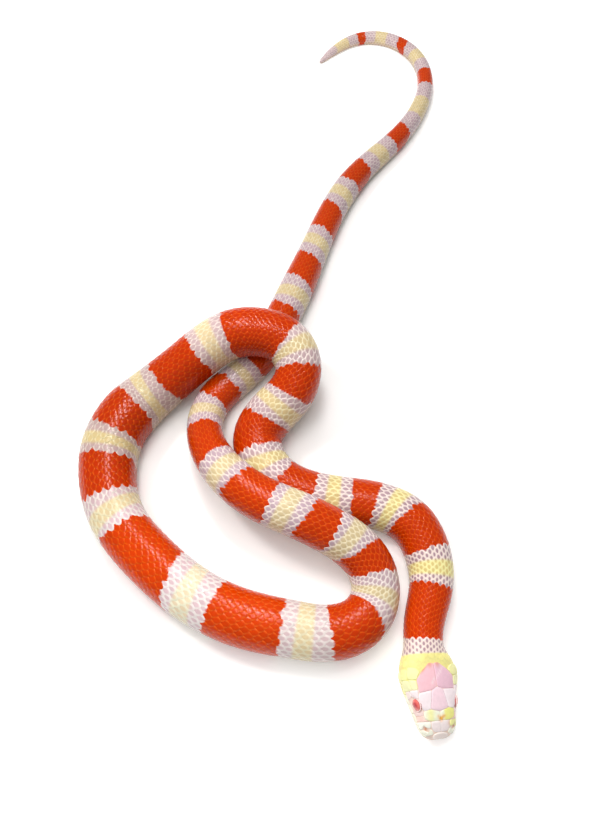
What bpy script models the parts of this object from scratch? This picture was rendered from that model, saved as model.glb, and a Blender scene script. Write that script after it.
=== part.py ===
"""A milk snake of the amelanistic form, life size and still, lying in loose coils on a floor.

The body is one long loft along a route on the floor. The route, the lift where the body lies over
itself, the girth and the section of the body are given by a few named sizes in millimetres.
The loft is divided into lengths with flat ends 0.3 mm apart. The head carries raised shields and
lip plates, with the lower jaw and the two eyes as pieces of their own.
+X is to the right, +Y away from the snout, +Z up, and the floor is at z = 0.
"""

import math

import bmesh
import bpy
import numpy as np
from mathutils import Vector

MM = 0.001

# The route of the belly line over the floor, from the snout to the tip of the tail, in mm.
ROUTE = (
    (46.6, 0), (45, 14), (43.5, 28), (44.5, 38), (48, 50), (48, 62), (42.4, 74.5), (32, 80.5),
    (16, 83.4), (0.5, 86.8), (-9, 92), (-15.5, 100.5), (-17, 110.5), (-11, 120), (-3, 129),
    (-1, 137), (-5, 146), (-16, 151), (-28.6, 150.4), (-40.8, 144.4), (-56, 134.2), (-69.9, 121.3),
    (-76, 107), (-76, 92.5), (-71, 77.5), (-57, 61), (-39.3, 47.2), (-19.5, 38.4), (-2.8, 35),
    (12.9, 34), (23.6, 39.2), (27.5, 49.2), (24.4, 58.6), (12, 67.8), (-6, 75.4), (-20, 82.8),
    (-30.5, 93), (-37.3, 106), (-39, 117), (-35.6, 129), (-26, 140), (-16, 153), (-8, 170),
    (2, 196), (13, 227), (30.2, 260.8), (50.3, 285.7), (65.6, 311.6), (71.7, 339), (65.2, 362.4),
    (51.3, 374), (36, 375), (23, 367.6), (12, 356),
)
ROUTE_STEP = 0.5

# Full width of the body at distances from the snout, in mm. The head has sizes of its own.
GIRTH = (
    (33, 13.6), (45, 15.0), (60, 17.0), (78, 18.2), (100, 18.0), (125, 18.4), (148, 20.0), (165, 20.0),
    (185, 19.4), (215, 19.9), (240, 19.7), (255, 21.0), (270, 22.8), (290, 22.8), (308, 21.2),
    (325, 20.2), (385, 20.2), (415, 19.2), (435, 18.0), (460, 17.4), (500, 16.6), (535, 14.3),
    (556, 15.0), (575, 15.3), (620, 15.6), (650, 13.5), (690, 12.9), (720, 11.3), (755, 9.5),
    (790, 8.5), (840, 7.3), (858, 6.2), (872, 4.6), (884, 1.6),
)
GIRTH_BLUR = 8.0
HEIGHT_SHARE = 0.90
WIDEST_SHARE = 0.45
BACK_POWER = 2.15
BELLY_POWER = 2.9
BELLY_CUT_SHARE = 0.045

# Where the body lies over itself: height in mm, then the stretches where it rises and falls.
LOOP_LIFT = (15.2, 148, 206, 212, 268)
HIND_LIFT = (13.8, 431, 484, 502, 555)

# The named lengths of the body and where each one ends, in mm from the snout.
HEAD_END = 30.0
LENGTHS = (
    ("neck", 76), ("trunk_01", 122), ("trunk_02", 160), ("trunk_03", 196), ("trunk_04", 228),
    ("trunk_05", 276), ("trunk_06", 330), ("trunk_07", 385), ("trunk_08", 432), ("trunk_09", 474),
    ("trunk_10", 530), ("trunk_11", 590), ("trunk_12", 650), ("trunk_13", 735),
    ("tail_base", 790), ("tail_middle", 845), ("tail_tip", None),
)
GAP = 0.3

# The head is rolled with its right side up: the angle in degrees, the height of the axis above the
# belly, and the rise that keeps the lower side on the floor. Distances and heights are in mm.
ROLL = ((0, 13), (22, 13), (70, 0))
ROLL_AXIS = 3.3
ROLL_RISE = ((0, 0.80), (20, 0.85), (32, 0.55), (70, 0))

# Belly plates of the body: broad scutes whose rear edges stand proud.
SCUTE_LENGTH = 6.4
SCUTE_RELIEF = 0.3
SCUTE_RAMP_SHARE = 0.3
SCUTE_STEP_SHARE = 0.12
BELLY_EDGE = math.radians(124)
BACK_SPANS = 11
BELLY_SPANS = 4

# Profiles of the head at distances from the snout, in mm.
HEAD_WIDTH = (
    (0.0, 6.0), (0.5, 8.4), (1.6, 10.8), (3.2, 12.7), (5.5, 14.3), (8.5, 15.7), (12.0, 17.3),
    (15.0, 18.8), (18.0, 20.2), (20.5, 20.8), (22.8, 19.7), (25.0, 18.0), (27.0, 16.1), (29.5, 14.3),
    (33.0, 13.6),
)
HEAD_TOP = (
    (0.0, 4.6), (0.5, 5.5), (1.6, 6.4), (3.6, 7.4), (6.5, 8.5), (9.5, 9.4), (13.0, 10.1),
    (18.0, 10.9), (24.0, 11.5), (33.0, 12.6),
)
HEAD_BOTTOM = ((0.0, 2.0), (0.5, 1.3), (1.6, 0.6), (3.6, 0.1), (5.0, -0.1), (33.0, -0.4))
HEAD_WIDEST = ((0.0, 3.1), (3.6, 3.4), (9.5, 3.9), (15.0, 4.3), (20.5, 4.8), (33.0, 5.7))
HEAD_BACK_POWER = ((0.0, 2.5), (6.5, 2.7), (14.0, 2.75), (22.0, 2.5), (33.0, 2.15))
HEAD_BELLY_POWER = ((0.0, 2.2), (9.5, 2.4), (20.5, 2.5), (33.0, 2.9))

# Swellings and hollows of the head: distance, height, their reach along and up, and rise, in mm.
HEAD_SWELLINGS = (
    (11.4, 9.0, 3.4, 0.9, 0.45),
    (11.2, 7.0, 4.2, 1.5, -0.75),
    (7.0, 5.7, 2.0, 1.3, -0.35),
    (3.4, 5.0, 1.5, 1.2, 0.20),
    (12.0, 3.9, 6.5, 0.9, 0.28),
    (21.0, 6.0, 4.0, 2.6, 0.20),
)
NOSE_RINGS = 19
NOSE_CROWDING = 1.5
NAPE_RINGS = 5
TOP_COLUMNS = 22
BOTTOM_COLUMNS = 8

# The line of the mouth from the side, where the jaw ends, and how far the jaw sits inside the lips.
MOUTH_LINE = ((0.0, 2.75), (2.0, 2.75), (7.0, 2.9), (13.0, 3.05), (18.0, 3.4), (33.0, 4.6))
JAW_START = 0.9
JAW_END = 22.6
JAW_SLOPE = 0.7
JAW_INSET = 0.3
JAW_RINGS = 16

# The eye, under its own clear scale.
EYE_AT = (11.2, 6.9)
EYE_RADIUS = 2.1
EYE_BULGE = 0.9
EYE_DEPTH = 1.35
EYE_TILT = math.radians(15)
EYE_TURN = math.radians(9)

# The nostril.
NOSTRIL_AT = (3.3, 5.0)
NOSTRIL_RADIUS = 0.5

# Shields: thickness above the skin, root below it, and how far each keeps from its neighbours.
SHIELD_RISE = 0.22
SHIELD_ROOT = 0.8
SHIELD_MARGIN = 0.16
SHIELD_SIDE_STEP = 2.6
MERGE = 0.002

# Outlines of the shields on the crown, as distance from the snout and distance to one side.
PAIRED_SHIELDS = {
    "internasal": ((2.3, 0.0), (2.6, 2.5), (3.9, 3.9), (5.6, 3.5), (5.5, 0.0)),
    "prefrontal": ((5.6, 0.0), (5.7, 3.6), (6.4, 5.3), (9.2, 5.7), (10.0, 3.0), (9.2, 0.0)),
    "supraocular": ((10.0, 3.1), (9.3, 5.4), (11.5, 6.2), (15.4, 5.8), (16.0, 2.2)),
    "parietal": ((17.4, 0.0), (16.1, 2.3), (15.8, 6.0), (19.4, 6.6), (22.4, 4.6), (24.9, 1.6), (24.4, 0.0)),
}
MIDDLE_SHIELDS = {
    "frontal": ((9.3, 0.0), (10.1, 2.9), (15.9, 2.0), (17.3, 0.0), (15.9, -2.0), (10.1, -2.9)),
    "rostral": ((0.6, 1.9), (1.6, 2.3), (2.2, 1.3), (2.2, -1.3), (1.6, -2.3), (0.6, -1.9)),
}

# Outlines of the small shields on the side of the head, as distance and height.
SIDE_SHIELDS = {
    "nasal": ((1.6, 4.8), (1.9, 6.0), (3.0, 6.5), (3.1, 4.8)),
    "postnasal": ((3.6, 4.8), (3.5, 6.6), (5.4, 6.9), (5.8, 5.0)),
    "loreal": ((5.8, 5.1), (5.6, 6.9), (7.4, 7.2), (7.5, 5.2)),
    "preocular": ((7.6, 5.2), (7.6, 7.4), (8.9, 7.9), (9.0, 5.4)),
    "upper_postocular": ((13.7, 6.8), (13.4, 8.3), (15.2, 8.5), (15.5, 6.9)),
    "lower_postocular": ((13.2, 5.3), (13.7, 6.7), (15.5, 6.8), (15.4, 5.5)),
    "front_temporal": ((15.7, 5.5), (15.6, 7.9), (18.6, 8.0), (19.0, 5.8)),
    "rear_temporal": ((19.2, 5.8), (18.8, 8.0), (21.8, 8.2), (22.3, 6.1)),
}

# Lip plates: where each begins and ends along the lip, and their heights above the mouth line.
UPPER_LIP_EDGES = (1.3, 3.3, 5.8, 8.6, 11.6, 14.8, 18.2, 21.6)
UPPER_LIP_REACH = (0.4, 1.8)
LOWER_LIP_EDGES = (1.9, 3.9, 6.1, 8.5, 11.2, 14.2, 17.4, 20.6)
LOWER_LIP_REACH = (-0.4, -1.45)

# Colours of the plain solids.
RED = (0.62, 0.06, 0.01, 1)
PALE = (0.72, 0.62, 0.52, 1)
YELLOW = (0.90, 0.80, 0.38, 1)
EYE_PINK = (0.60, 0.10, 0.12, 1)


def clear_scene():
    for item in list(bpy.data.objects):
        bpy.data.objects.remove(item, do_unlink=True)


def material(name, colour, roughness):
    made = bpy.data.materials.new(name)
    made.use_nodes = True
    shader = made.node_tree.nodes["Principled BSDF"]
    shader.inputs["Base Color"].default_value = colour
    shader.inputs["Roughness"].default_value = roughness
    shader.inputs["Metallic"].default_value = 0.0
    return made


def natural_spline(knots, values, at):
    """Values of the natural cubic spline through the knots, one column for each coordinate."""
    gaps = np.diff(knots)
    count = len(knots)
    matrix = np.eye(count)
    right = np.zeros_like(values)
    for i in range(1, count - 1):
        matrix[i, i - 1 : i + 2] = gaps[i - 1], 2 * (gaps[i - 1] + gaps[i]), gaps[i]
        slopes = (values[i + 1] - values[i]) / gaps[i] - (values[i] - values[i - 1]) / gaps[i - 1]
        right[i] = 6 * slopes
    bend = np.linalg.solve(matrix, right)
    k = np.clip(np.searchsorted(knots, at, side="right") - 1, 0, count - 2)
    h = gaps[k][:, None]
    before = (knots[k + 1] - at)[:, None] / h
    after = 1 - before
    cubic = (before**3 - before) * bend[k] + (after**3 - after) * bend[k + 1]
    return before * values[k] + after * values[k + 1] + cubic * h**2 / 6


def hump(s, lift):
    """A smooth rise and fall along the body: height, rise start, rise end, fall start, fall end."""
    height, rise_start, rise_end, fall_start, fall_end = lift
    rise = np.clip((s - rise_start) / (rise_end - rise_start), 0, 1)
    fall = np.clip((fall_end - s) / (fall_end - fall_start), 0, 1)
    share = np.minimum(rise, fall)
    return height * (3 * share**2 - 2 * share**3)


class Spine:
    """The belly line of the snake, with a frame of axes at each distance from the snout."""

    def __init__(self):
        points = np.array(ROUTE, float)
        chord = np.r_[0, np.cumsum(np.hypot(*np.diff(points, axis=0).T))]
        fine = natural_spline(chord, points, np.arange(0, chord[-1], 0.25))
        flat_s = np.r_[0, np.cumsum(np.hypot(*np.diff(fine, axis=0).T))]
        self.length = float(flat_s[-1])
        self.s = np.arange(0, self.length, ROUTE_STEP)
        x = np.interp(self.s, flat_s, fine[:, 0])
        y = np.interp(self.s, flat_s, fine[:, 1])
        z = hump(self.s, LOOP_LIFT) + hump(self.s, HIND_LIFT)
        self.points = np.stack([x, y, z], axis=1)
        tangents = np.gradient(self.points, axis=0)
        self.tangents = tangents / np.linalg.norm(tangents, axis=1)[:, None]
        widths = np.interp(self.s, *zip(*GIRTH))
        reach = int(GIRTH_BLUR / ROUTE_STEP)
        kernel = np.ones(reach) / reach
        padded = np.pad(widths, reach, mode="edge")
        self.widths = np.convolve(padded, kernel, mode="same")[reach:-reach]
        self.centre = self.box_centre()

    def box_centre(self):
        """The middle of the body's box on the floor, which becomes the origin."""
        side = np.stack([self.tangents[:, 1], -self.tangents[:, 0]], axis=1)
        side /= np.linalg.norm(side, axis=1)[:, None]
        edges = [self.points[:, :2] + sign * side * self.widths[:, None] / 2 for sign in (1, -1)]
        edges = np.concatenate([e[int(HEAD_END / ROUTE_STEP) :] for e in edges] + [self.points[:1, :2]])
        return (edges.min(axis=0) + edges.max(axis=0)) / 2

    def width(self, s):
        return float(np.interp(s, self.s, self.widths))

    def frame(self, s):
        """The point on the belly line, and the axes along the body, to its side and up its back."""
        at = np.array([np.interp(s, self.s, self.points[:, k]) for k in range(3)])
        at[:2] -= self.centre
        along = np.array([np.interp(s, self.s, self.tangents[:, k]) for k in range(3)])
        along /= np.linalg.norm(along)
        side = np.cross(along, (0, 0, 1))
        side /= np.linalg.norm(side)
        up = np.cross(side, along)
        roll = math.radians(profile(ROLL, s))
        rolled_up = up * math.cos(roll) + side * math.sin(roll)
        at += (up - rolled_up) * ROLL_AXIS + up * profile(ROLL_RISE, s)
        return at, along, side * math.cos(roll) - up * math.sin(roll), rolled_up

    def place(self, s, y, z):
        """The world point, in metres, of a point at s along, y to the side and z above the belly."""
        at, _, side, up = self.frame(s)
        point = at + side * y + up * z
        point[2] = max(point[2], 0.0)
        return point * MM


def arch(angle, half_width, bottom, widest, top, back_power, belly_power):
    """A point of the section: angle 0 is the middle of the back and pi the middle of the belly."""
    sine, cosine = math.sin(angle), math.cos(angle)
    power = back_power if cosine > 0 else belly_power
    y = half_width * math.copysign(abs(sine) ** (2 / power), sine)
    reach = top - widest if cosine > 0 else widest - bottom
    z = widest + reach * math.copysign(abs(cosine) ** (2 / power), cosine)
    return y, z


def profile(table, at):
    return float(np.interp(at, *zip(*table)))


def head_point(s, angle, inset=0.0):
    """Side and height of the head's surface, with its swellings and hollows."""
    half = profile(HEAD_WIDTH, s) / 2 - inset
    widest = profile(HEAD_WIDEST, s)
    y, z = arch(
        angle, half, profile(HEAD_BOTTOM, s), widest, profile(HEAD_TOP, s),
        profile(HEAD_BACK_POWER, s), profile(HEAD_BELLY_POWER, s),
    )
    facing = math.copysign(min(1.0, abs(y) / half * 1.2), y)
    for at, height, along, up, rise in HEAD_SWELLINGS:
        y += facing * rise * math.exp(-(((s - at) / along) ** 2) - ((z - height) / up) ** 2)
    return y, max(z, 0.0)


def body_point(spine, s, angle):
    """Side and height of the body's surface, on a belly cut flat where it rests."""
    width = spine.width(s)
    height = width * HEIGHT_SHARE
    cut = height * BELLY_CUT_SHARE
    y, z = arch(
        angle, width / 2, -cut, height * WIDEST_SHARE, height, BACK_POWER, BELLY_POWER
    )
    return y, max(z, 0.0)


def mesh_object(name, points, faces, smooth=True):
    mesh = bpy.data.meshes.new(name)
    mesh.from_pydata([tuple(p) for p in points], [], faces)
    mesh.validate()
    shell = bmesh.new()
    shell.from_mesh(mesh)
    bmesh.ops.triangulate(shell, faces=shell.faces)
    bmesh.ops.recalc_face_normals(shell, faces=shell.faces)
    shell.to_mesh(mesh)
    shell.free()
    if smooth:
        mesh.shade_smooth()
        mesh.set_sharp_from_angle(angle=math.radians(40))
    made = bpy.data.objects.new(name, mesh)
    bpy.context.scene.collection.objects.link(made)
    return made


def back_angles():
    return np.linspace(-BELLY_EDGE, BELLY_EDGE, BACK_SPANS + 1)


def belly_angles():
    return np.linspace(BELLY_EDGE, 2 * math.pi - BELLY_EDGE, BELLY_SPANS + 1)


def belly_point(spine, s, angle, relief):
    """A point of the belly, drawn in by the relief, which fades out at the edges of the scutes."""
    y, z = body_point(spine, s, angle)
    share = min(1.0, (1 - abs(angle - math.pi) / (math.pi - BELLY_EDGE)) * 3)
    return y * (1 - relief * share / (spine.width(s) / 2)), z + relief * share


def body_length(spine, name, start, end, tip, colour):
    """One length of the body, with a ring for each scute on the back and three on the belly."""
    count = max(2, round((end - start) / min(SCUTE_LENGTH, 0.75 * spine.width((start + end) / 2))))
    pitch = (end - start) / count
    points, faces, back, belly = [], [], [], []

    def add_row(s, angles, relief):
        row = []
        for angle in angles:
            y, z = belly_point(spine, s, angle, relief) if relief is not None else body_point(spine, s, angle)
            row.append(len(points))
            points.append(spine.place(s, y, z))
        return row

    for k in range(count + 1):
        s = start + k * pitch
        back.append(add_row(s, back_angles(), None))
        rows = [(s, SCUTE_RELIEF if 0 < k < count else 0.0)]
        if k < count:
            rows.append((s + SCUTE_RAMP_SHARE * pitch, 0.0))
            if k < count - 1:
                rows.append((s + (1 - SCUTE_STEP_SHARE) * pitch, 0.0))
        for n, (at, relief) in enumerate(rows):
            inner = add_row(at, belly_angles()[1:-1], relief)
            if n == 0:
                belly.append([back[-1][-1]] + inner + [back[-1][0]])
            else:
                first = len(points)
                for angle in (BELLY_EDGE, -BELLY_EDGE):
                    y, z = body_point(spine, at, angle)
                    points.append(spine.place(at, y, z))
                belly.append([first] + inner + [first + 1])

    rows_before = 0
    for k in range(count):
        for j in range(BACK_SPANS):
            corners = [back[k][j], back[k][j + 1], back[k + 1][j + 1], back[k + 1][j]]
            rows = 3 if k < count - 1 else 2
            between = belly[rows_before + 1 : rows_before + rows]
            if j == BACK_SPANS - 1:
                corners = corners[:2] + [row[0] for row in between] + corners[2:]
            if j == 0:
                corners = corners + [row[-1] for row in reversed(between)]
            faces.append(corners)
        for n in range(rows):
            front, rear = belly[rows_before + n], belly[rows_before + n + 1]
            for j in range(BELLY_SPANS):
                faces.append([front[j], front[j + 1], rear[j + 1], rear[j]])
        rows_before += rows
    faces.append(back[0] + belly[0][1:-1])
    last = back[-1] + belly[-1][1:-1]
    if tip:
        at = spine.frame(end)[0] + spine.frame(end)[1] * spine.width(end) * 0.35
        at[2] = spine.width(end) * HEIGHT_SHARE * 0.4
        points.append(at * MM)
        faces += [[last[i], last[(i + 1) % len(last)], len(points) - 1] for i in range(len(last))]
    else:
        faces.append(list(reversed(last)))
    made = mesh_object(name, points, faces)
    made.data.materials.append(colour)
    return made


def mouth_height(s):
    return profile(MOUTH_LINE, s)


def closed_loft(name, rings_of_points):
    """A closed loft through rings of equal count, with flat ends."""
    points, rings, faces = [], [], []
    for ring in rings_of_points:
        rings.append(range(len(points), len(points) + len(ring)))
        points += ring
    for front, rear in zip(rings, rings[1:]):
        for k in range(len(front)):
            after = (k + 1) % len(front)
            faces.append([front[k], front[after], rear[after], rear[k]])
    faces += [list(reversed(rings[0])), list(rings[-1])]
    return mesh_object(name, points, faces)


def head_ring(spine, s):
    """The ring of the head at s. Its underside is flat along the mouth, as far as the end of the jaw."""
    edge = angle_of_height(s, mouth_height(s) + GAP / 2)
    ring = [head_point(s, a) for a in np.linspace(-edge, edge, TOP_COLUMNS + 1)]
    if s <= JAW_END:
        (y, z), spans = ring[-1], BOTTOM_COLUMNS
        ring += [(y * (1 - 2 * k / spans), z) for k in range(1, spans)]
    else:
        below = np.linspace(edge, 2 * math.pi - edge, BOTTOM_COLUMNS + 1)[1:-1]
        ring += [head_point(s, a) for a in below]
    return [spine.place(s, y, z) for y, z in ring]


def head_shell(spine):
    """The head above the line of the mouth, with its whole rear end."""
    nose = JAW_END * np.linspace(0, 1, NOSE_RINGS) ** NOSE_CROWDING
    nape = np.linspace(JAW_END + JAW_SLOPE, HEAD_END - GAP / 2, NAPE_RINGS)
    return closed_loft("head", [head_ring(spine, s) for s in (*nose, *nape)])


def jaw_ring(spine, s):
    edge = angle_of_height(s, mouth_height(s) - GAP / 2)
    ring = [
        head_point(s, a, JAW_INSET) for a in np.linspace(edge, 2 * math.pi - edge, BOTTOM_COLUMNS * 2 + 1)
    ]
    (y, z), spans = ring[-1], BOTTOM_COLUMNS // 2
    ring += [(y * (1 - 2 * k / spans), z) for k in range(1, spans)]
    return [spine.place(s, y, z) for y, z in ring]


def jaw_shell(spine):
    """The lower jaw below the line of the mouth, a little inside the upper lips."""
    shares = np.linspace(0, 1, JAW_RINGS) ** NOSE_CROWDING
    stations = JAW_START + (JAW_END - GAP - JAW_START) * shares
    return closed_loft("lower_jaw", [jaw_ring(spine, s) for s in stations])


def angle_of_side(s, y):
    """The angle on the upper head at a distance y to one side."""
    share = min(0.999, abs(y) / (profile(HEAD_WIDTH, s) / 2))
    return math.copysign(math.asin(share ** (profile(HEAD_BACK_POWER, s) / 2)), y)


def angle_of_height(s, z):
    """The angle on one side of the head at a height z."""
    widest = profile(HEAD_WIDEST, s)
    if z > widest:
        share = min(0.999, (z - widest) / (profile(HEAD_TOP, s) - widest))
        return math.acos(share ** (profile(HEAD_BACK_POWER, s) / 2))
    share = min(0.999, (widest - z) / (widest - profile(HEAD_BOTTOM, s)))
    return math.pi - math.acos(share ** (profile(HEAD_BELLY_POWER, s) / 2))


def surface(spine, s, angle, rise, inset):
    """A world point on the head, moved out along its normal by rise."""
    step = 0.02
    here = spine.place(s, *head_point(s, angle, inset))
    along = spine.place(s + step, *head_point(s + step, angle, inset)) - here
    round_it = spine.place(s, *head_point(s, angle + step, inset)) - here
    normal = np.cross(round_it, along)
    middle = spine.place(s, 0, profile(HEAD_WIDEST, s))
    normal /= np.linalg.norm(normal)
    if np.dot(normal, here - middle) < 0:
        normal = -normal
    return here + normal * rise * MM


def shrink(outline, margin):
    """The outline moved in by a margin on every side, towards its middle."""
    middle = np.mean(outline, axis=0)
    moved = []
    for point in outline:
        away = point - middle
        moved.append(middle + away * max(0.4, 1 - margin / np.linalg.norm(away) * 1.25))
    return np.array(moved)


def subdivided(outline):
    points = []
    for start, end in zip(outline, np.roll(outline, -1, axis=0)):
        parts = max(1, round(np.linalg.norm(end - start) / SHIELD_SIDE_STEP))
        points += [start + (end - start) * k / parts for k in range(parts)]
    return np.array(points)


def shield(spine, name, outline, to_angle, inset=0.0):
    """A raised plate on the head: its rim, a shoulder, a crown and a root sunk in the skin."""
    outline = subdivided(shrink(np.array(outline, float), SHIELD_MARGIN))
    middle = outline.mean(axis=0)
    levels = ((1.0, -SHIELD_ROOT), (1.0, SHIELD_RISE * 0.45), (0.86, SHIELD_RISE), (0.45, SHIELD_RISE))
    count = len(outline)
    points = []
    for share, rise in levels:
        for point in middle + (outline - middle) * share:
            points.append(surface(spine, point[0], to_angle(*point), rise, inset))
    points.append(surface(spine, middle[0], to_angle(*middle), SHIELD_RISE, inset))
    faces = [list(range(count))]
    for level in range(len(levels) - 1):
        for k in range(count):
            a, b = level * count + k, level * count + (k + 1) % count
            faces.append([a, b, b + count, a + count])
    top = (len(levels) - 1) * count
    faces += [[top + k, top + (k + 1) % count, len(points) - 1] for k in range(count)]
    return mesh_object(name, points, faces)


def crown_shields(spine):
    made = []
    for name, outline in PAIRED_SHIELDS.items():
        for side in (1, -1):
            mirrored = [(s, side * y) for s, y in outline]
            made.append(shield(spine, name, mirrored, angle_of_side))
    for name, outline in MIDDLE_SHIELDS.items():
        made.append(shield(spine, name, outline, angle_of_side))
    return made


def side_shields(spine, side):
    def to_angle(s, z):
        return side * angle_of_height(s, z)

    return [shield(spine, name, outline, to_angle) for name, outline in SIDE_SHIELDS.items()]


def lip_plates(spine, side, name, edges, reach, inset):
    """The plates along one lip, on one side."""

    def to_angle(s, z):
        return side * angle_of_height(s, z)

    made = []
    for start, end in zip(edges, edges[1:]):
        low = [(s, mouth_height(s) + reach[0]) for s in (start, end)]
        high = [(s, mouth_height(s) + reach[1]) for s in (end, start)]
        made.append(shield(spine, name, low + high, to_angle, inset))
    return made


def ball(name, spine, s, y, z, radii, tilt, turn, segments, rings):
    """An ellipsoid with radii along the head, to its side and up, tilted up and turned forward."""
    bpy.ops.mesh.primitive_uv_sphere_add(segments=segments, ring_count=rings, radius=1)
    made = bpy.context.active_object
    made.name = name
    _, along, side, up = spine.frame(s)
    side, up = side * math.cos(tilt) + up * math.sin(tilt), up * math.cos(tilt) - side * math.sin(tilt)
    side, along = side * math.cos(turn) - along * math.sin(turn), along * math.cos(turn) + side * math.sin(turn)
    centre = spine.place(s, y, z)
    for vertex in made.data.vertices:
        local = vertex.co
        turned = side * local.z * radii[1] + along * local.x * radii[0] + up * local.y * radii[2]
        vertex.co = Vector(centre + turned * MM)
    return made


def eye_centre():
    s, z = EYE_AT
    y, _ = head_point(s, angle_of_height(s, z))
    return s, y + EYE_BULGE - EYE_DEPTH, z


def eye(spine, name, side, grown=0.0):
    s, y, z = eye_centre()
    radii = (EYE_RADIUS + grown, EYE_DEPTH + grown, EYE_RADIUS + grown)
    return ball(name, spine, s, side * y, z, radii, side * EYE_TILT, side * EYE_TURN, 20, 10)


def nostril_pit(spine, side):
    s, z = NOSTRIL_AT
    y, _ = head_point(s, angle_of_height(s, z))
    radii = (NOSTRIL_RADIUS * 1.25, NOSTRIL_RADIUS * 1.8, NOSTRIL_RADIUS)
    return ball("nostril_pit", spine, s, side * (y + 0.1), z, radii, 0, 0, 12, 8)


def combine(target, others, operation):
    """Applies one Boolean of the target with a collection of closed meshes, and removes them."""
    group = bpy.data.collections.new("pieces")
    bpy.context.scene.collection.children.link(group)
    for other in others:
        group.objects.link(other)
    modifier = target.modifiers.new("combine", "BOOLEAN")
    modifier.operand_type = "COLLECTION"
    modifier.collection = group
    modifier.operation = operation
    modifier.solver = "MANIFOLD"
    bpy.context.view_layer.update()
    graph = bpy.context.evaluated_depsgraph_get()
    result = bpy.data.meshes.new_from_object(target.evaluated_get(graph))
    target.modifiers.clear()
    target.data = result
    for other in others:
        bpy.data.objects.remove(other, do_unlink=True)
    bpy.data.collections.remove(group)


def keep_largest(target):
    """Keeps the largest closed surface of the mesh, with close points merged."""
    shell = bmesh.new()
    shell.from_mesh(target.data)
    bmesh.ops.remove_doubles(shell, verts=shell.verts, dist=MERGE * MM)
    bmesh.ops.triangulate(shell, faces=shell.faces)
    unseen = set(shell.verts)
    groups = []
    while unseen:
        stack = [unseen.pop()]
        group = set(stack)
        while stack:
            for edge in stack.pop().link_edges:
                for vertex in edge.verts:
                    if vertex in unseen:
                        unseen.remove(vertex)
                        group.add(vertex)
                        stack.append(vertex)
        groups.append(group)
    groups.sort(key=len, reverse=True)
    for group in groups[1:]:
        bmesh.ops.delete(shell, geom=list(group), context="VERTS")
    shell.to_mesh(target.data)
    shell.free()
    target.data.shade_smooth()
    target.data.set_sharp_from_angle(angle=math.radians(35))


def build_head(spine, skin, eye_colour):
    head = head_shell(spine)
    plates = crown_shields(spine)
    for side in (1, -1):
        plates += side_shields(spine, side)
        plates += lip_plates(spine, side, "upper_lip", UPPER_LIP_EDGES, UPPER_LIP_REACH, 0.0)
    combine(head, plates, "UNION")
    hollows = [eye(spine, "socket", side, GAP) for side in (1, -1)]
    hollows += [nostril_pit(spine, side) for side in (1, -1)]
    combine(head, hollows, "DIFFERENCE")
    jaw = jaw_shell(spine)
    plates = []
    for side in (1, -1):
        plates += lip_plates(spine, side, "lower_lip", LOWER_LIP_EDGES, LOWER_LIP_REACH, JAW_INSET)
    combine(jaw, plates, "UNION")
    for piece in (head, jaw):
        keep_largest(piece)
        piece.data.materials.clear()
        piece.data.materials.append(skin)
    for name, side in (("eye_left", 1), ("eye_right", -1)):
        ball_of_eye = eye(spine, name, side)
        ball_of_eye.data.shade_smooth()
        ball_of_eye.data.materials.append(eye_colour)


def main():
    clear_scene()
    spine = Spine()
    red = material("red_bands", RED, 0.35)
    pale = material("pale_bands", PALE, 0.35)
    yellow = material("head_yellow", YELLOW, 0.35)
    pink = material("eye_pink", EYE_PINK, 0.1)
    build_head(spine, yellow, pink)
    start = HEAD_END
    for number, (name, end) in enumerate(LENGTHS):
        tip = end is None
        stop = spine.length - 1.0 if tip else end - GAP / 2
        colour = red if number % 2 else pale
        body_length(spine, name, start + GAP / 2, stop, tip, colour)
        start = end


main()
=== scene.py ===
"""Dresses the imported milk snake: one skin, scales, scutes, head shields, eyes, floor, light and camera.

The route, lift, girth and section of the body are those of the solids. Everything on the body is
placed by its distance from the snout and by its distance round the body from the middle of the back.
Sizes are in millimetres until they reach a mesh.
"""

import math

import bpy
import numpy as np
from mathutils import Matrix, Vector


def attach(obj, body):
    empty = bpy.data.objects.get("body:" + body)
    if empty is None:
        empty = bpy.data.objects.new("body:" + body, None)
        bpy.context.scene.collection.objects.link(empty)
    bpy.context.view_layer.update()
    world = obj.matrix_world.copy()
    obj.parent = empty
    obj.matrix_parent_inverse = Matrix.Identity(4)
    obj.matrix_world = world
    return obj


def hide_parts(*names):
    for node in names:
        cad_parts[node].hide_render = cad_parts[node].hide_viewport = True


MM = 0.001

# The route of the belly line over the floor, from the snout to the tip of the tail.
ROUTE = (
    (46.6, 0), (45, 14), (43.5, 28), (44.5, 38), (48, 50), (48, 62), (42.4, 74.5), (32, 80.5),
    (16, 83.4), (0.5, 86.8), (-9, 92), (-15.5, 100.5), (-17, 110.5), (-11, 120), (-3, 129),
    (-1, 137), (-5, 146), (-16, 151), (-28.6, 150.4), (-40.8, 144.4), (-56, 134.2), (-69.9, 121.3),
    (-76, 107), (-76, 92.5), (-71, 77.5), (-57, 61), (-39.3, 47.2), (-19.5, 38.4), (-2.8, 35),
    (12.9, 34), (23.6, 39.2), (27.5, 49.2), (24.4, 58.6), (12, 67.8), (-6, 75.4), (-20, 82.8),
    (-30.5, 93), (-37.3, 106), (-39, 117), (-35.6, 129), (-26, 140), (-16, 153), (-8, 170),
    (2, 196), (13, 227), (30.2, 260.8), (50.3, 285.7), (65.6, 311.6), (71.7, 339), (65.2, 362.4),
    (51.3, 374), (36, 375), (23, 367.6), (12, 356),
)
ROUTE_STEP = 0.5

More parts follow.
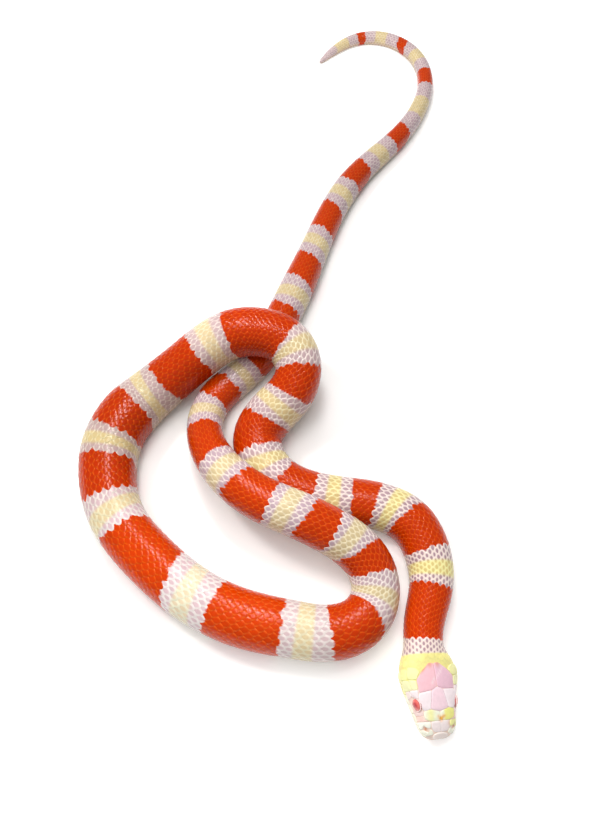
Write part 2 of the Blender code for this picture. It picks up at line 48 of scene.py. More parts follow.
# Full width of the body at distances from the snout.
GIRTH = (
    (33, 13.6), (45, 15), (60, 17), (78, 18.2), (100, 18), (125, 18.4), (148, 20), (165, 20),
    (185, 19.4), (215, 19.9), (240, 19.7), (255, 21), (270, 22.8), (290, 22.8), (308, 21.2),
    (325, 20.2), (385, 20.2), (415, 19.2), (435, 18), (460, 17.4), (500, 16.6), (535, 14.3),
    (556, 15), (575, 15.3), (620, 15.6), (650, 13.5), (690, 12.9), (720, 11.3), (755, 9.5),
    (790, 8.5), (840, 7.3), (858, 6.2), (872, 4.6), (884, 1.6),
)
GIRTH_BLUR = 8.0
HEIGHT_SHARE = 0.90
WIDEST_SHARE = 0.45
BACK_POWER = 2.15
BELLY_POWER = 2.9
BELLY_CUT_SHARE = 0.045

# The rounded ends: the height that the snout closes on, how far the tip of the tail goes past the
# route, the length that rounds it off, the share of the body's height that it closes on, and the
# least size of a section there.
SNOUT_DOME = 0.25
SNOUT_MIDDLE = 3.2
TIP_PAST = 0.6
TIP_ROUND = 3.0
TIP_MIDDLE = 0.42
LEAST_SECTION = 0.0004

# The grid of the surface: where the fine rows of the head end, and the rows at the tip of the tail.
BODY_START = 36
TIP_ROWS = 16

# Where the body lies over itself: height, then the stretches where it rises and falls.
LOOP_LIFT = (15.2, 148, 206, 212, 268)
HIND_LIFT = (13.8, 431, 484, 502, 555)

# The head is rolled with its right side up: the angle in degrees, the height of the axis above the
# belly, and the rise that keeps the lower side on the floor.
ROLL = ((0, 13), (22, 13), (70, 0))
ROLL_AXIS = 3.3
ROLL_RISE = ((0, 0.80), (20, 0.85), (32, 0.55), (70, 0))

# Profiles of the head at distances from the snout.
HEAD_END = 30.0
HEAD_BLEND = (26, 33)
HEAD_WIDTH = (
    (0, 6), (0.5, 8.4), (1.6, 10.8), (3.2, 12.7), (5.5, 14.3), (8.5, 15.7), (12, 17.3),
    (15, 18.8), (18, 20.2), (20.5, 20.8), (22.8, 19.7), (25, 18), (27, 16.1), (29.5, 14.3),
    (33, 13.6),
)
HEAD_TOP = (
    (0, 4.6), (0.5, 5.5), (1.6, 6.4), (3.6, 7.4), (6.5, 8.5), (9.5, 9.4), (13, 10.1),
    (18, 10.9), (24, 11.5), (33, 12.6),
)
HEAD_BOTTOM = ((0, 2), (0.5, 1.3), (1.6, 0.6), (3.6, 0.1), (5, -0.1), (33, -0.4))
HEAD_WIDEST = ((0, 3.1), (3.6, 3.4), (9.5, 3.9), (15, 4.3), (20.5, 4.8), (33, 5.7))
HEAD_BACK_POWER = ((0, 2.5), (6.5, 2.7), (14, 2.75), (22, 2.5), (33, 2.15))
HEAD_BELLY_POWER = ((0, 2.2), (9.5, 2.4), (20.5, 2.5), (33, 2.9))

# Swellings and hollows of the head: distance, height, their reach along and up, and rise.
HEAD_SWELLINGS = (
    (11.4, 9, 3.4, 0.9, 0.45),
    (11.2, 7, 4.2, 1.5, -0.75),
    (7, 5.7, 2, 1.3, -0.35),
    (3.4, 5, 1.5, 1.2, 0.20),
    (12, 3.9, 6.5, 0.9, 0.28),
    (21, 6, 4, 2.6, 0.20),
)

# The line of the mouth from the side, where it ends, and how far the jaw sits inside the lips.
MOUTH_LINE = ((0, 2.75), (2, 2.75), (7, 2.9), (13, 3.05), (18, 3.4), (33, 4.6))
MOUTH_END = 22.0
JAW_INSET = 0.3

# The eye under its clear scale and the ring of scales round it, and the nostril.
EYE_AT = (11.2, 6.9)
EYE_RADIUS = 2.1
EYE_BULGE = 0.9
EYE_DEPTH = 1.35
EYE_TILT = math.radians(15)
EYE_TURN = math.radians(9)
RIM_WIDTH = 0.22
RIM_HEIGHT = 0.20
NOSTRIL_AT = (3.35, 6.2)
NOSTRIL_DEPTH = 0.3
NOSTRIL_REACH = (0.9, 0.55)

# The belly's edge, as an angle of the section.
BELLY_EDGE = math.radians(124)

# The lattice of scales: pitch along the body, row spacing as a share of the body's width, how much
# wider each row is towards the belly, and where the scales begin and leave the throat free.
SCALE_PITCH = (
    (16, 1.7), (24, 1.9), (40, 2), (58, 2.2), (70, 2.5), (86, 2.7), (108, 2.95), (123, 3.15),
    (155, 3.2), (170, 2.7), (190, 2.3), (208, 2.1), (225, 2.3), (242, 2.8), (260, 3.3), (385, 3.25),
    (425, 3), (440, 2.6), (455, 2.35), (480, 2.15), (497, 2.7), (520, 3), (622, 3.2), (662, 3),
    (718, 3), (763, 2.8), (800, 2.4), (840, 2), (882, 1.5),
)
ROW_SHARE = (
    (16, 0.080), (30, 0.0835), (40, 0.087), (58, 0.0785), (86, 0.0785), (123, 0.081), (200, 0.087),
    (245, 0.086), (290, 0.077), (345, 0.0815), (385, 0.079), (440, 0.087), (560, 0.085), (622, 0.079),
    (662, 0.085), (720, 0.100), (790, 0.13), (840, 0.16), (882, 0.20),
)
ROW_GROWTH = 0.018
HIGHEST_ROW = 18
SCALES_START = 15.0
THROAT_END = 28.5
THROAT_SHARE = 0.86

# Where the scales begin behind the shields, by distance round from the middle of the back.
NAPE_LINE = ((0, 25.6), (1.6, 25.6), (5, 23.9), (6.5, 23.4), (14, 23), (16, 22.4), (18, 16))

# One scale: the points of a ring, the power of its outline, and its rings as shares of its size. Then
# its half length and half width as shares of the pitch and spacing, with what chance adds to each, how
# high its front, its rear and its middle stand, and the spacing at which it has its full height.
SCALE_POINTS = 14
SCALE_POWER = 1.55
SCALE_RINGS = ((1, "under"), (1, "edge"), (0.9, "top"), (0.55, "top"))
SCALE_LIFTS = {"top": 0, "edge": -0.05, "under": -0.20}
HALF_LENGTH = (0.60, 0.03)
HALF_WIDTH = (0.96, 0.05)
FRONT_RISE = -0.30
REAR_RISE = 0.25
SCALE_DOME = 0.13
RISE_CHANCE = 0.03
TINT_CHANCE = 0.10
FULL_SPACING = 1.9

# A plate of the belly: its steps along and the height at each, the points across it, its length as a
# share of the pitch, its thickness, and the pitch at which it has its full height.
SCUTE_STEPS = np.array([0, 0.35, 0.7, 0.93, 1.0])
SCUTE_RISES = np.array([-0.34, -0.22, -0.06, -0.01, -0.06])
SCUTE_POINTS = 17
SCUTE_REACH = 1.22
SCUTE_THICKNESS = 0.14
FULL_PITCH = 3.6

# The skin under the scales and under the head's shields.
SKIN_DEPTH = 0.24
HEAD_SKIN_DEPTH = 0.12
SKIN_COLUMNS = 120

# The unwrap of the skin: strips of the body laid side by side, the length that fills the map, and the
# size of one scale on it.
STRIP = 221.0
STRIPS = 4
UNWRAP = 290.0
SCALE_UNWRAP = 0.0015

# Red bands, and the yellow bands between them: where each begins and ends from the snout. A band that
# leans has two more values: how far each of its ends moves on from the middle of the back to the belly.
RED_BANDS = (
    (31.2, 50.6), (63.2, 79.2, 0, -5), (91.2, 101.2, -2, 0), (115.3, 129), (144.8, 162, 0, 5),
    (175.8, 186.4, 0, -2), (197.3, 219.4), (231.5, 249.6), (268.6, 283, -1, -4), (294.6, 310, -2, 0),
    (325, 352, -2, 6), (370.6, 396), (413.2, 431, 0, -8), (447.4, 457, -6, -7), (467.5, 476.8, 0, -3),
    (488.6, 503.3, 0, -2), (515, 532, 0, -1), (548, 561, -3, 1), (573.5, 585), (596, 606, 0, -2),
    (622, 637.3, -4, -4), (655.4, 671.8, -3, -5), (690.5, 706, 0, -3), (729.8, 743.5, -2, -3),
    (782.4, 795.6), (820.4, 826.8, 3, 3), (847.8, 853),
)
YELLOW_BANDS = (
    (53.9, 58.7), (82.8, 87.4, -4, -4), (105.9, 111), (135.2, 140.6, -4, -4), (167.6, 172.4),
    (190.9, 195.1, -2, -2), (223.2, 228), (255.4, 261.6, -3, -3), (287.3, 291.6, -2, -2),
    (315.4, 321.2, 3, 3), (357.8, 364.2, 2, 3), (401.6, 407.6), (436.6, 441.8, -7, -7),
    (460.2, 464.8, -3, -3), (480.6, 485, -2, -2), (506.6, 511), (537.2, 542.6), (565.4, 569.4),
    (588, 592), (610.8, 616.6), (643.6, 650, -3, -3), (678.2, 684.6, -2, -2), (713.8, 721.8),
    (755.5, 770), (804.5, 813), (834.5, 841.5), (860, 869),
)

# Colours, as 8-bit values of a screen. The red, pale and yellow stops along the body are partly the
# snake's own colour and partly painted light, lighter between about 325 and 410 from the snout where the
# lower coils lie in the strongest light.
RED_CORE = (
    (40, (208, 56, 0)), (110, (204, 54, 0)), (200, (200, 52, 0)), (300, (202, 52, 0)),
    (335, (220, 62, 0)), (390, (222, 64, 0)), (430, (212, 56, 0)), (520, (206, 56, 0)),
    (884, (204, 56, 2)),
)
RED_RIM = (
    (40, (230, 86, 12)), (110, (228, 88, 14)), (200, (226, 84, 14)), (335, (242, 96, 16)),
    (390, (246, 104, 34)), (430, (236, 94, 20)), (520, (230, 90, 16)), (884, (224, 92, 24)),
)
RED_GAP = (150, 28, 0)
RED_FLANK_CORE = (196, 52, 4)
RED_FLANK_RIM = (222, 104, 56)
PALE_CORE = (
    (34, (190, 158, 166)), (56, (184, 152, 162)), (110, (196, 166, 172)), (200, (210, 182, 184)),
    (290, (204, 174, 170)), (325, (230, 198, 206)), (410, (228, 200, 202)), (470, (204, 176, 186)),
    (884, (200, 174, 180)),
)
PALE_RIM = (
    (40, (252, 232, 224)), (150, (252, 236, 232)), (290, (246, 228, 216)), (335, (255, 246, 244)),
    (410, (255, 242, 238)), (480, (250, 234, 228)), (884, (240, 224, 220)),
)
YELLOW_CORE = (
    (56, (236, 212, 140)), (110, (228, 202, 140)), (225, (232, 208, 164)), (290, (230, 206, 150)),
    (360, (246, 226, 190)), (405, (240, 218, 172)), (470, (226, 204, 160)), (884, (226, 202, 150)),
)
YELLOW_RIM = (
    (56, (255, 246, 176)), (110, (252, 240, 180)), (225, (252, 240, 206)), (290, (250, 234, 186)),
    (360, (255, 250, 222)), (405, (255, 244, 208)), (470, (252, 238, 202)), (884, (244, 230, 190)),
)
FLANK_CORE = (206, 178, 154)
FLANK_RIM = (240, 220, 192)
BELLY_CREAM = (240, 226, 204)
BELLY_RED = (220, 110, 80)
HEAD_YELLOW = (254, 244, 158)
# The skin in the head's grooves: pale like the shields, and painted a little lighter as painted light
# against the shade in the narrow grooves.
HEAD_GROOVE = (252, 228, 214)
LIGHTEST = 0.80

# The spot in the middle of each scale: its size as a share of the scale, from the snout to the tail.
SPOT_SIZE = (
    (30, 0.31), (56, 0.36), (100, 0.44), (150, 0.52), (290, 0.56), (320, 0.42), (400, 0.38),
    (470, 0.50), (600, 0.56), (884, 0.52),
)
RED_SPOT = 0.60

# How light the colours are along the body, from the snout to the tail: partly the snake's own tone and
# partly painted light, lighter at the head and the lower coils where the light falls strongest, darker on
# the hind body and the tail.
# Painted light: the head's shields, the nape, the skin in the head's grooves and the eye rims are painted
# this much lighter, as for a brightly lit head.
HEAD_PAINTED_LIGHT = 1.2
TONE_AND_PAINTED_LIGHT = (
    (0, 1.12), (34, 1.10), (60, 0.97), (110, 0.96), (150, 0.92), (200, 0.90), (225, 0.96), (240, 0.86),
    (276, 0.80), (300, 0.88), (335, 1.02), (390, 1.04), (420, 0.95), (450, 0.97), (500, 1),
    (530, 0.92), (560, 0.85), (620, 0.80), (700, 0.77), (740, 0.82), (800, 0.88), (884, 0.94),
)

# Outlines of the shields on the crown, as distance from the snout and distance to one side.
PAIRED_SHIELDS = {
    "internasal": ((2.1, 0), (2.2, 2.3), (3.4, 3.3), (5.5, 3.4), (5.5, 0)),
    "prefrontal": ((5.5, 0), (5.5, 3.4), (6.2, 5.5), (8.2, 5.9), (8.8, 5.4), (9.1, 3.1), (8.3, 0)),
    "supraocular": ((9.1, 3.1), (8.8, 5.4), (10.2, 6.4), (13.4, 6.7), (14.6, 6.3), (14.9, 2.1)),
    "parietal": (
        (15.9, 0), (14.9, 2.1), (14.6, 6.3), (18.6, 6.8), (20.9, 4.9), (23.5, 1.7), (23.3, 0),
    ),
}
MIDDLE_SHIELDS = {
    "frontal": ((8.3, 0), (9.1, 3.1), (14.9, 2.1), (15.9, 0), (14.9, -2.1), (9.1, -3.1)),
    "rostral": (
        (-0.1, 2), (0.5, 2.8), (1.5, 2.6), (2.1, 0.9), (2.1, -0.9), (1.5, -2.6), (0.5, -2.8),
        (-0.1, -2),
    ),
}

# Outlines of the small shields on the side of the head, as distance and height.
SIDE_SHIELDS = {
    "nasal": (
        (1.1, 4.6), (1.5, 6.15), (2.2, 6.5), (3.3, 6.98), (3.3, 6.58), (2.5, 6.42), (2.1, 6.15),
        (2.5, 5.88), (3.25, 5.78), (3.25, 4.6),
    ),
    "postnasal": (
        (3.3, 4.6), (3.35, 5.78), (4.2, 5.92), (4.65, 6.2), (4.2, 6.52), (3.35, 6.62), (3.4, 7),
        (5.5, 7.85), (5.8, 4.8),
    ),
    "loreal": ((5.8, 4.8), (5.5, 7.85), (6.3, 7.3), (7.5, 7.7), (7.6, 4.9)),
    "preocular": (
        (7.6, 4.9), (7.5, 7.7), (8.6, 8.1), (9.4, 8.4), (8.9, 7.6), (8.75, 6.8), (9.1, 5.6), (9.8, 4.9),
    ),
    "upper_postocular": ((13.6, 6.9), (13.2, 8.3), (12.7, 8.9), (15.5, 9.6), (15.7, 6.9)),
    "lower_postocular": ((12.6, 4.9), (13.4, 5.8), (13.6, 6.9), (15.7, 6.9), (15.6, 5)),
    "front_temporal": ((15.6, 5), (15.7, 8.4), (19, 8.4), (19.2, 5.4)),
    "rear_temporal": ((19.2, 5.4), (19, 8.4), (22.2, 8.8), (22.8, 5.8)),
    "upper_temporal": ((15.7, 8.4), (15.6, 9.6), (18.6, 10), (19.1, 8.4)),
    "rear_upper_temporal": ((19.1, 8.4), (18.7, 10.1), (21, 10.75), (22.4, 10.4), (22.9, 8.8)),
}

# The plates of the lips: the edges between them, and their reach from the line of the mouth.
LIP_PLATES = {
    "upper_lip": ((1.1, 3.3, 5.8, 8.6, 11.6, 14.8, 18.2, 21.9), 0.10, 1.87),
    "lower_lip": ((0.9, 3.9, 6.1, 8.5, 11.2, 14.2, 17.4, 21.2), -0.10, -1.5),
}

# A plate of the head: the step between its points, how far it keeps from its neighbours, and its rings
# as distance in from its edge and height. Its crown adds a little to the height of the last ring.
PLATE_STEP = 0.35
PLATE_MARGIN = 0.04
PLATE_RINGS = ((0, -0.4), (0, 0), (0.09, 0.105), (0.22, 0.15))
PLATE_CROWN = 0.03
CROWN_RINGS = (0.8, 0.6, 0.4, 0.2)

# Colours of the head's shields.
SHIELD_COLOURS = {
    "internasal": (255, 236, 236), "prefrontal": (255, 252, 232), "supraocular": (252, 236, 240),
    "parietal": (244, 196, 206), "frontal": (252, 220, 230), "rostral": (255, 236, 230),
    "nasal": (255, 250, 232), "postnasal": (255, 252, 238), "loreal": (250, 216, 206),
    "preocular": (252, 224, 220), "upper_postocular": (254, 236, 238),
    "lower_postocular": (254, 232, 228), "front_temporal": (254, 250, 196),
    "rear_temporal": (254, 247, 172), "upper_temporal": (254, 250, 196),
    "rear_upper_temporal": (254, 247, 180), "upper_lip": (255, 246, 226), "lower_lip": (253, 238, 218),
}
CROWN_YELLOW = (255, 246, 150)
ORANGE_MARK = (240, 176, 70)
NOSTRIL_COLOUR = (240, 160, 118)
NAPE_MARK = (222, 142, 92)
PARIETAL_LEFT = (250, 200, 210)
PARIETAL_RIGHT = (238, 196, 212)
PARIETAL_STREAK = (252, 226, 232)

# Orange marks of the crown: distance, place to one side, their reach along and across, and strength.
PREFRONTAL_MARKS = ((6.1, 0.1, 0.6, 0.7, 1.4), (6.8, 1.1, 0.5, 0.7, 0.84), (6.9, -0.8, 0.5, 0.5, 0.56))
INTERNASAL_MARKS = ((4.6, 3.7, 0.9, 0.9, 1), (5.6, 0.1, 0.4, 0.6, 1))

# The most light that the head's shields and their rims give back.
SHIELD_LIGHTEST = 0.92
RIM_LIGHTEST = 0.93

# The eye's colours from the middle of the pupil to the rim.
EYE_COLOURS = (
    (0, (176, 30, 44)), (0.40, (184, 36, 48)), (0.50, (222, 96, 92)), (0.80, (232, 120, 112)),
    (0.95, (190, 70, 74)),
)

# The pieces that the scales and the belly's plates are divided into, by distance from the snout.
STRETCHES = (
    ("neck", 0, 100), ("neck_rear", 100, 180), ("fore", 180, 270), ("middle", 270, 360),
    ("middle_rear", 360, 450), ("hind", 450, 540), ("hind_rear", 540, 640), ("tail_root", 640, 740),
    ("tail", 740, 900),
)
SCUTES_START = 29

# Lamps over the floor: place in metres, what each is aimed at, width and length in metres, power in
# watts, and whether the scales mirror it.
LAMPS = (
    ((-0.05, -0.14, 0.42), (0, -0.02, 0), (0.32, 0.32), 0.68, False),
    ((-0.05, 0.45, 0.45), (0, -0.02, 0), (0.25, 0.25), 0.55, False),
    ((-0.28, 0.08, 0.40), (0, -0.02, 0), (0.09, 0.09), 1, False),
    ((-0.045, 0.10, 0.50), (-0.045, 0.09, 0), (0.10, 0.40), 0.70, True),
    ((-0.055, 0.13, 0.49), (-0.045, 0.12, 0), (0.018, 0.44), 0.75, True),
    ((0.13, 0.03, 0.50), (0.05, 0, 0), (0.04, 0.04), 0.14, True),
)
LAMP_COLOUR = (1, 0.985, 0.96)
WORLD_LIGHT = 0.27

# The floor, in metres: half its side, and the floor's painted glow, which grows with the distance from
# the snake and so leaves painted shade on the floor round the coils.
FLOOR_REACH = 3
PAINTED_GLOW_MIDDLE = (-0.015, 0.01, 0)
FLOOR_PAINTED_GLOW = {"From Min": 0.10, "From Max": 0.25, "To Min": 0.02, "To Max": 0.48}

# The camera: focal length and image height in pixels, sensor in mm, height in metres, and tilt.
FOCAL_PIXELS = 650
IMAGE_HEIGHT = 816
SENSOR = 36
CAMERA_HEIGHT = 0.250
CAMERA_TILT = math.radians(27)

# The seed of the small chance variations of the scales.
SEED = 27

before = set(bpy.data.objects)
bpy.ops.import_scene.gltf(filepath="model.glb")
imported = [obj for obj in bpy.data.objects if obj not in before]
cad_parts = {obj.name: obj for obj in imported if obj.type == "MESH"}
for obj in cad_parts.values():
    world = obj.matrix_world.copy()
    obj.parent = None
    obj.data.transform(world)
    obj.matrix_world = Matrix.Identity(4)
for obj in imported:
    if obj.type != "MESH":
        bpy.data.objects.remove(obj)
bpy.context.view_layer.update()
rng = np.random.default_rng(SEED)


def table(pairs, at):
    return np.interp(at, *zip(*pairs))


def paint(colour):
    """Linear light of an 8-bit colour, with white held to what a real surface gives back."""
    value = np.asarray(colour, float) / 255
    linear = np.where(value <= 0.04045, value / 12.92, ((value + 0.055) / 1.055) ** 2.4)
    return linear * LIGHTEST


def smooth(value):
    value = np.clip(value, 0, 1)
    return value * value * (3 - 2 * value)


def unit(vectors):
    return vectors / (np.linalg.norm(vectors, axis=-1, keepdims=True) + 1e-12)


def natural_spline(knots, values, at):
    """Values of the natural cubic spline through the knots, one column for each coordinate."""
    gaps = np.diff(knots)
    count = len(knots)
    matrix = np.eye(count)
    right = np.zeros_like(values)
    for i in range(1, count - 1):
        matrix[i, i - 1 : i + 2] = gaps[i - 1], 2 * (gaps[i - 1] + gaps[i]), gaps[i]
        slopes = (values[i + 1] - values[i]) / gaps[i] - (values[i] - values[i - 1]) / gaps[i - 1]
        right[i] = 6 * slopes
    bend = np.linalg.solve(matrix, right)
    k = np.clip(np.searchsorted(knots, at, side="right") - 1, 0, count - 2)
    h = gaps[k][:, None]
    before = (knots[k + 1] - at)[:, None] / h
    after = 1 - before
    cubic = (before**3 - before) * bend[k] + (after**3 - after) * bend[k + 1]
    return before * values[k] + after * values[k + 1] + cubic * h**2 / 6


def hump(s, lift):
    """The height of the belly line where the body rises over itself."""
    height, rise_start, rise_end, fall_start, fall_end = lift
    rise = (s - rise_start) / (rise_end - rise_start)
    fall = (fall_end - s) / (fall_end - fall_start)
    return height * smooth(np.minimum(rise, fall))


def columns_at(at, places, values):
    """Each column of values, read between its places."""
    return np.stack([np.interp(at, places, column) for column in np.transpose(values)], axis=-1)


class Spine:
    """The belly line, with the axes along the body, to its side and up its back."""

    def __init__(self):
        points = np.array(ROUTE, float)
        chord = np.r_[0, np.cumsum(np.hypot(*np.diff(points, axis=0).T))]
        fine = natural_spline(chord, points, np.arange(0, chord[-1], 0.25))
        flat_s = np.r_[0, np.cumsum(np.hypot(*np.diff(fine, axis=0).T))]
        self.length = float(flat_s[-1])
        self.s = np.arange(0, self.length, ROUTE_STEP)
        x = np.interp(self.s, flat_s, fine[:, 0])
        y = np.interp(self.s, flat_s, fine[:, 1])
        z = hump(self.s, LOOP_LIFT) + hump(self.s, HIND_LIFT)
        self.points = np.stack([x, y, z], axis=1)
        self.tangents = unit(np.gradient(self.points, axis=0))
        widths = np.interp(self.s, *zip(*GIRTH))
        reach = int(GIRTH_BLUR / ROUTE_STEP)
        padded = np.pad(widths, reach, mode="edge")
        self.widths = np.convolve(padded, np.ones(reach) / reach, mode="same")[reach:-reach]
        self.centre = self.box_centre()

    def box_centre(self):
        """The middle of the snake's outline on the floor."""
        side = unit(np.stack([self.tangents[:, 1], -self.tangents[:, 0]], axis=1))
        edges = [self.points[:, :2] + sign * side * self.widths[:, None] / 2 for sign in (1, -1)]
        edges = np.concatenate([e[int(HEAD_END / ROUTE_STEP) :] for e in edges] + [self.points[:1, :2]])
        return (edges.min(axis=0) + edges.max(axis=0)) / 2

    def width(self, s):
        return np.interp(s, self.s, self.widths)

    def place(self, s, y, z):
        """World points, in mm, of points at s along, y to the side and z above the belly line."""
        s, y, z = np.broadcast_arrays(s, y, z)
        at = columns_at(s, self.s, self.points)
        at[..., :2] -= self.centre
        along = unit(columns_at(s, self.s, self.tangents))
        side = unit(np.cross(along, (0.0, 0.0, 1.0)))
        up = np.cross(side, along)
        roll = np.radians(table(ROLL, s))
        out = y * np.cos(roll) + (z - ROLL_AXIS) * np.sin(roll)
        high = ROLL_AXIS + (z - ROLL_AXIS) * np.cos(roll) - y * np.sin(roll) + table(ROLL_RISE, s)
        beyond = np.minimum(s, 0) + np.maximum(s - self.s[-1], 0)
        point = at + along * beyond[..., None] + side * out[..., None] + up * high[..., None]
        point[..., 2] = np.maximum(point[..., 2], 0.0)
        return point


def arch(angle, half, bottom, widest, top, back_power, belly_power):
    """A point of the section: angle 0 is the middle of the back and pi the middle of the belly."""
    sine, cosine = np.sin(angle), np.cos(angle)
    power = np.where(cosine > 0, back_power, belly_power)
    y = half * np.copysign(np.abs(sine) ** (2 / power), sine)
    reach = np.where(cosine > 0, top - widest, widest - bottom)
    z = widest + reach * np.copysign(np.abs(cosine) ** (2 / power), cosine)
    return y, z


def head_section(s, angle):
    """Side and height of the head's surface, with the jaw drawn in below the lips."""
    s = np.maximum(s, 0)
    half = table(HEAD_WIDTH, s) / 2
    y, z = arch(
        angle, half, table(HEAD_BOTTOM, s), table(HEAD_WIDEST, s), table(HEAD_TOP, s),
        table(HEAD_BACK_POWER, s), table(HEAD_BELLY_POWER, s),
    )
    facing = np.copysign(np.minimum(1.0, np.abs(y) / half * 1.2), y)
    for at, height, along, up, rise in HEAD_SWELLINGS:
        y = y + facing * rise * np.exp(-(((s - at) / along) ** 2) - ((z - height) / up) ** 2)
    mouth = table(MOUTH_LINE, s)
    closed = smooth((MOUTH_END + 1.0 - s) / 2.0)
    below = smooth((mouth - z) / 0.3 + 0.5)
    return y - np.sign(y) * np.minimum(np.abs(y), JAW_INSET * below * closed), z


def body_section(spine, s, angle):
    width = spine.width(s)
    height = width * HEIGHT_SHARE
    bottom = -height * BELLY_CUT_SHARE
    return arch(angle, width / 2, bottom, height * WIDEST_SHARE, height, BACK_POWER, BELLY_POWER)


def rounding(share):
    """The size of a section that far out along a round end: 1 at its start and almost 0 at its tip."""
    return np.sqrt(np.clip(1 - share**2, LEAST_SECTION, 1))


def section(spine, s, angle):
    """The section of the whole snake, rounded off at the snout and the tip of the tail."""
    head_y, head_z = head_section(s, angle)
    body_y, body_z = body_section(spine, s, angle)
    share = smooth((s - HEAD_BLEND[0]) / (HEAD_BLEND[1] - HEAD_BLEND[0]))
    y = head_y + (body_y - head_y) * share
    z = head_z + (body_z - head_z) * share
    dome = rounding(np.minimum(s, 0) / SNOUT_DOME)
    y, z = y * dome, SNOUT_MIDDLE + (z - SNOUT_MIDDLE) * dome
    left = spine.length + TIP_PAST - s
    tip = rounding(1 - np.minimum(left / TIP_ROUND, 1))
    middle = spine.width(s) * HEIGHT_SHARE * TIP_MIDDLE
    return y * tip, np.maximum(middle + (z - middle) * tip, 0.0)


def between(grid, row, part, column, rest):
    """Values inside a grid's cells: part of the way to the next row, and rest to the next column."""
    front = grid[row, column] * (1 - rest) + grid[row, column + 1] * rest
    rear = grid[row + 1, column] * (1 - rest) + grid[row + 1, column + 1] * rest
    return front * (1 - part) + rear * part


class Surface:
    """The surface of the solids as a grid: rows by distance s, columns by share of the way round."""

    COLUMNS = 320
    ANGLES = 720

    def __init__(self, spine):
        self.spine = spine
        nose = -SNOUT_DOME * np.cos(np.linspace(0.02, math.pi / 2, 8))[:-1]
        self.s = np.concatenate([
            nose, np.arange(0, 4, 0.1), np.arange(4, BODY_START, 0.25),
            np.arange(BODY_START, spine.length - TIP_ROUND, 0.5),
            np.linspace(spine.length - TIP_ROUND, spine.length + TIP_PAST, TIP_ROWS),
        ])
        self.angles = np.linspace(-math.pi, math.pi, self.ANGLES + 1)
        y, z = section(spine, self.s[:, None], self.angles[None, :])
        steps = np.hypot(np.diff(y, axis=1), np.diff(z, axis=1))
        arc = np.concatenate([np.zeros((len(self.s), 1)), np.cumsum(steps, axis=1)], axis=1)
        arc -= arc[:, self.ANGLES // 2, None]
        self.half_girth = arc[:, -1].copy()
        self.share_of_angle = arc / self.half_girth[:, None]
        self.shares = np.linspace(-1, 1, self.COLUMNS + 1)
        local = [
            np.stack([np.interp(self.shares, row, v) for row, v in zip(self.share_of_angle, grid)])
            for grid in (y, z)
        ]
        self.points = spine.place(self.s[:, None], *local)
        along = np.gradient(self.points, self.s, axis=0)
        round_it = np.gradient(self.points, self.shares, axis=1)
        round_it[:, 0] = round_it[:, -1] = (round_it[:, 0] + round_it[:, -1]) / 2
        normal = unit(np.cross(round_it, along))
        middle = self.points.mean(axis=1, keepdims=True)
        self.normals = normal * np.sign(np.einsum("ijk,ijk->", normal, self.points - middle))
        middle_row = self.share_of_angle[len(self.s) // 2]
        self.edge_share = float(np.interp(BELLY_EDGE, self.angles, middle_row))

    def half(self, s):
        """Distance round the body from the middle of the back to the middle of the belly."""
        return np.interp(s, self.s, self.half_girth)

    def edge(self, s):
        """Distance round the body from the middle of the back to the edge of the belly plates."""
        return self.half(s) * self.edge_share

    def row_of(self, s):
        """The row before s, and the part of the way to the next row."""
        row = np.clip(np.searchsorted(self.s, s) - 1, 0, len(self.s) - 2)
        return row, np.clip((s - self.s[row]) / (self.s[row + 1] - self.s[row]), 0, 1)

    def share_at(self, s, angle):
        """The share of the way round of an angle of the section."""
        row, part = self.row_of(s)
        place = (angle - self.angles[0]) / (self.angles[1] - self.angles[0])
        column = np.clip(place.astype(int), 0, self.ANGLES - 1)
        return between(self.share_of_angle, row, part, column, place - column)

    def at(self, s, share, rise=0.0):
        """World points in mm, raised above the surface of the solids by rise."""
        s, share, rise = np.broadcast_arrays(s, share, rise)
        row, part = self.row_of(s)
        place = (share + 1) % 2 / 2 * self.COLUMNS
        column = np.clip(place.astype(int), 0, self.COLUMNS - 1)
        cell = row, part[..., None], column, (place - column)[..., None]
        point = between(self.points, *cell) + unit(between(self.normals, *cell)) * rise[..., None]
        point[..., 2] = np.maximum(point[..., 2], 0.0)
        return point


def strip_of(s):
    return np.clip(np.floor((s + 1) / STRIP), 0, STRIPS - 1)


def unwrap(s, d, strip=None):
    """The place on the unwrap of a point s from the snout and d round from the middle of the back."""
    if strip is None:
        strip = strip_of(s)
    u = 0.02 + (s + 1 - strip * STRIP) / UNWRAP
    v = (strip + 0.5) / STRIPS + d / UNWRAP
    return np.stack(np.broadcast_arrays(u, v), axis=-1)


def leaning(q):
    """How far round a point is for the lean of a band, fading out under the belly."""
    return np.clip(q, -1, 1) * smooth((1.45 - np.abs(q)) / 0.4)


def in_band(s, q, bands, shrink):
    """Whether s is inside a band, with each band drawn in at both ends by shrink."""
    inside = np.zeros(np.shape(s), bool)
    side = leaning(q)
    for start, end, *leans in bands:
        first, last = leans or (0, 0)
        take = np.minimum(shrink, (end - start) * 0.42)
        inside |= (s > start + first * side + take) & (s < end + last * side - take)
    return inside


def band_share(s, q, bands, grow, soft):
    """1 inside a band and 0 outside it, with soft ends."""
    share = np.zeros(np.shape(s))
    side = leaning(q)
    for start, end, *leans in bands:
        first, last = leans or (0, 0)
        rise = smooth((s - start - first * side + grow) / soft + 0.5)
        share = np.maximum(share, rise * smooth((end + last * side + grow - s) / soft + 0.5))
    return share


def mix(a, b, share):
    a, b = np.asarray(a, float), np.asarray(b, float)
    return a + (b - a) * np.asarray(share)[..., None]


def along_body(s, stops):
    """Linear colours that change along the body from stop to stop."""
    places, colours = zip(*stops)
    return columns_at(s, places, paint(colours))


def is_red(s, q, noise):
    """Whether a scale with its middle at s, at share q of the way to the belly's edge, is red."""
    pitch = table(SCALE_PITCH, s)
    shrink = 0.6 * pitch * smooth((np.abs(q) - 0.55) / 0.45) + (noise - 0.5) * 0.3 * pitch
    return in_band(s, q, RED_BANDS, shrink)


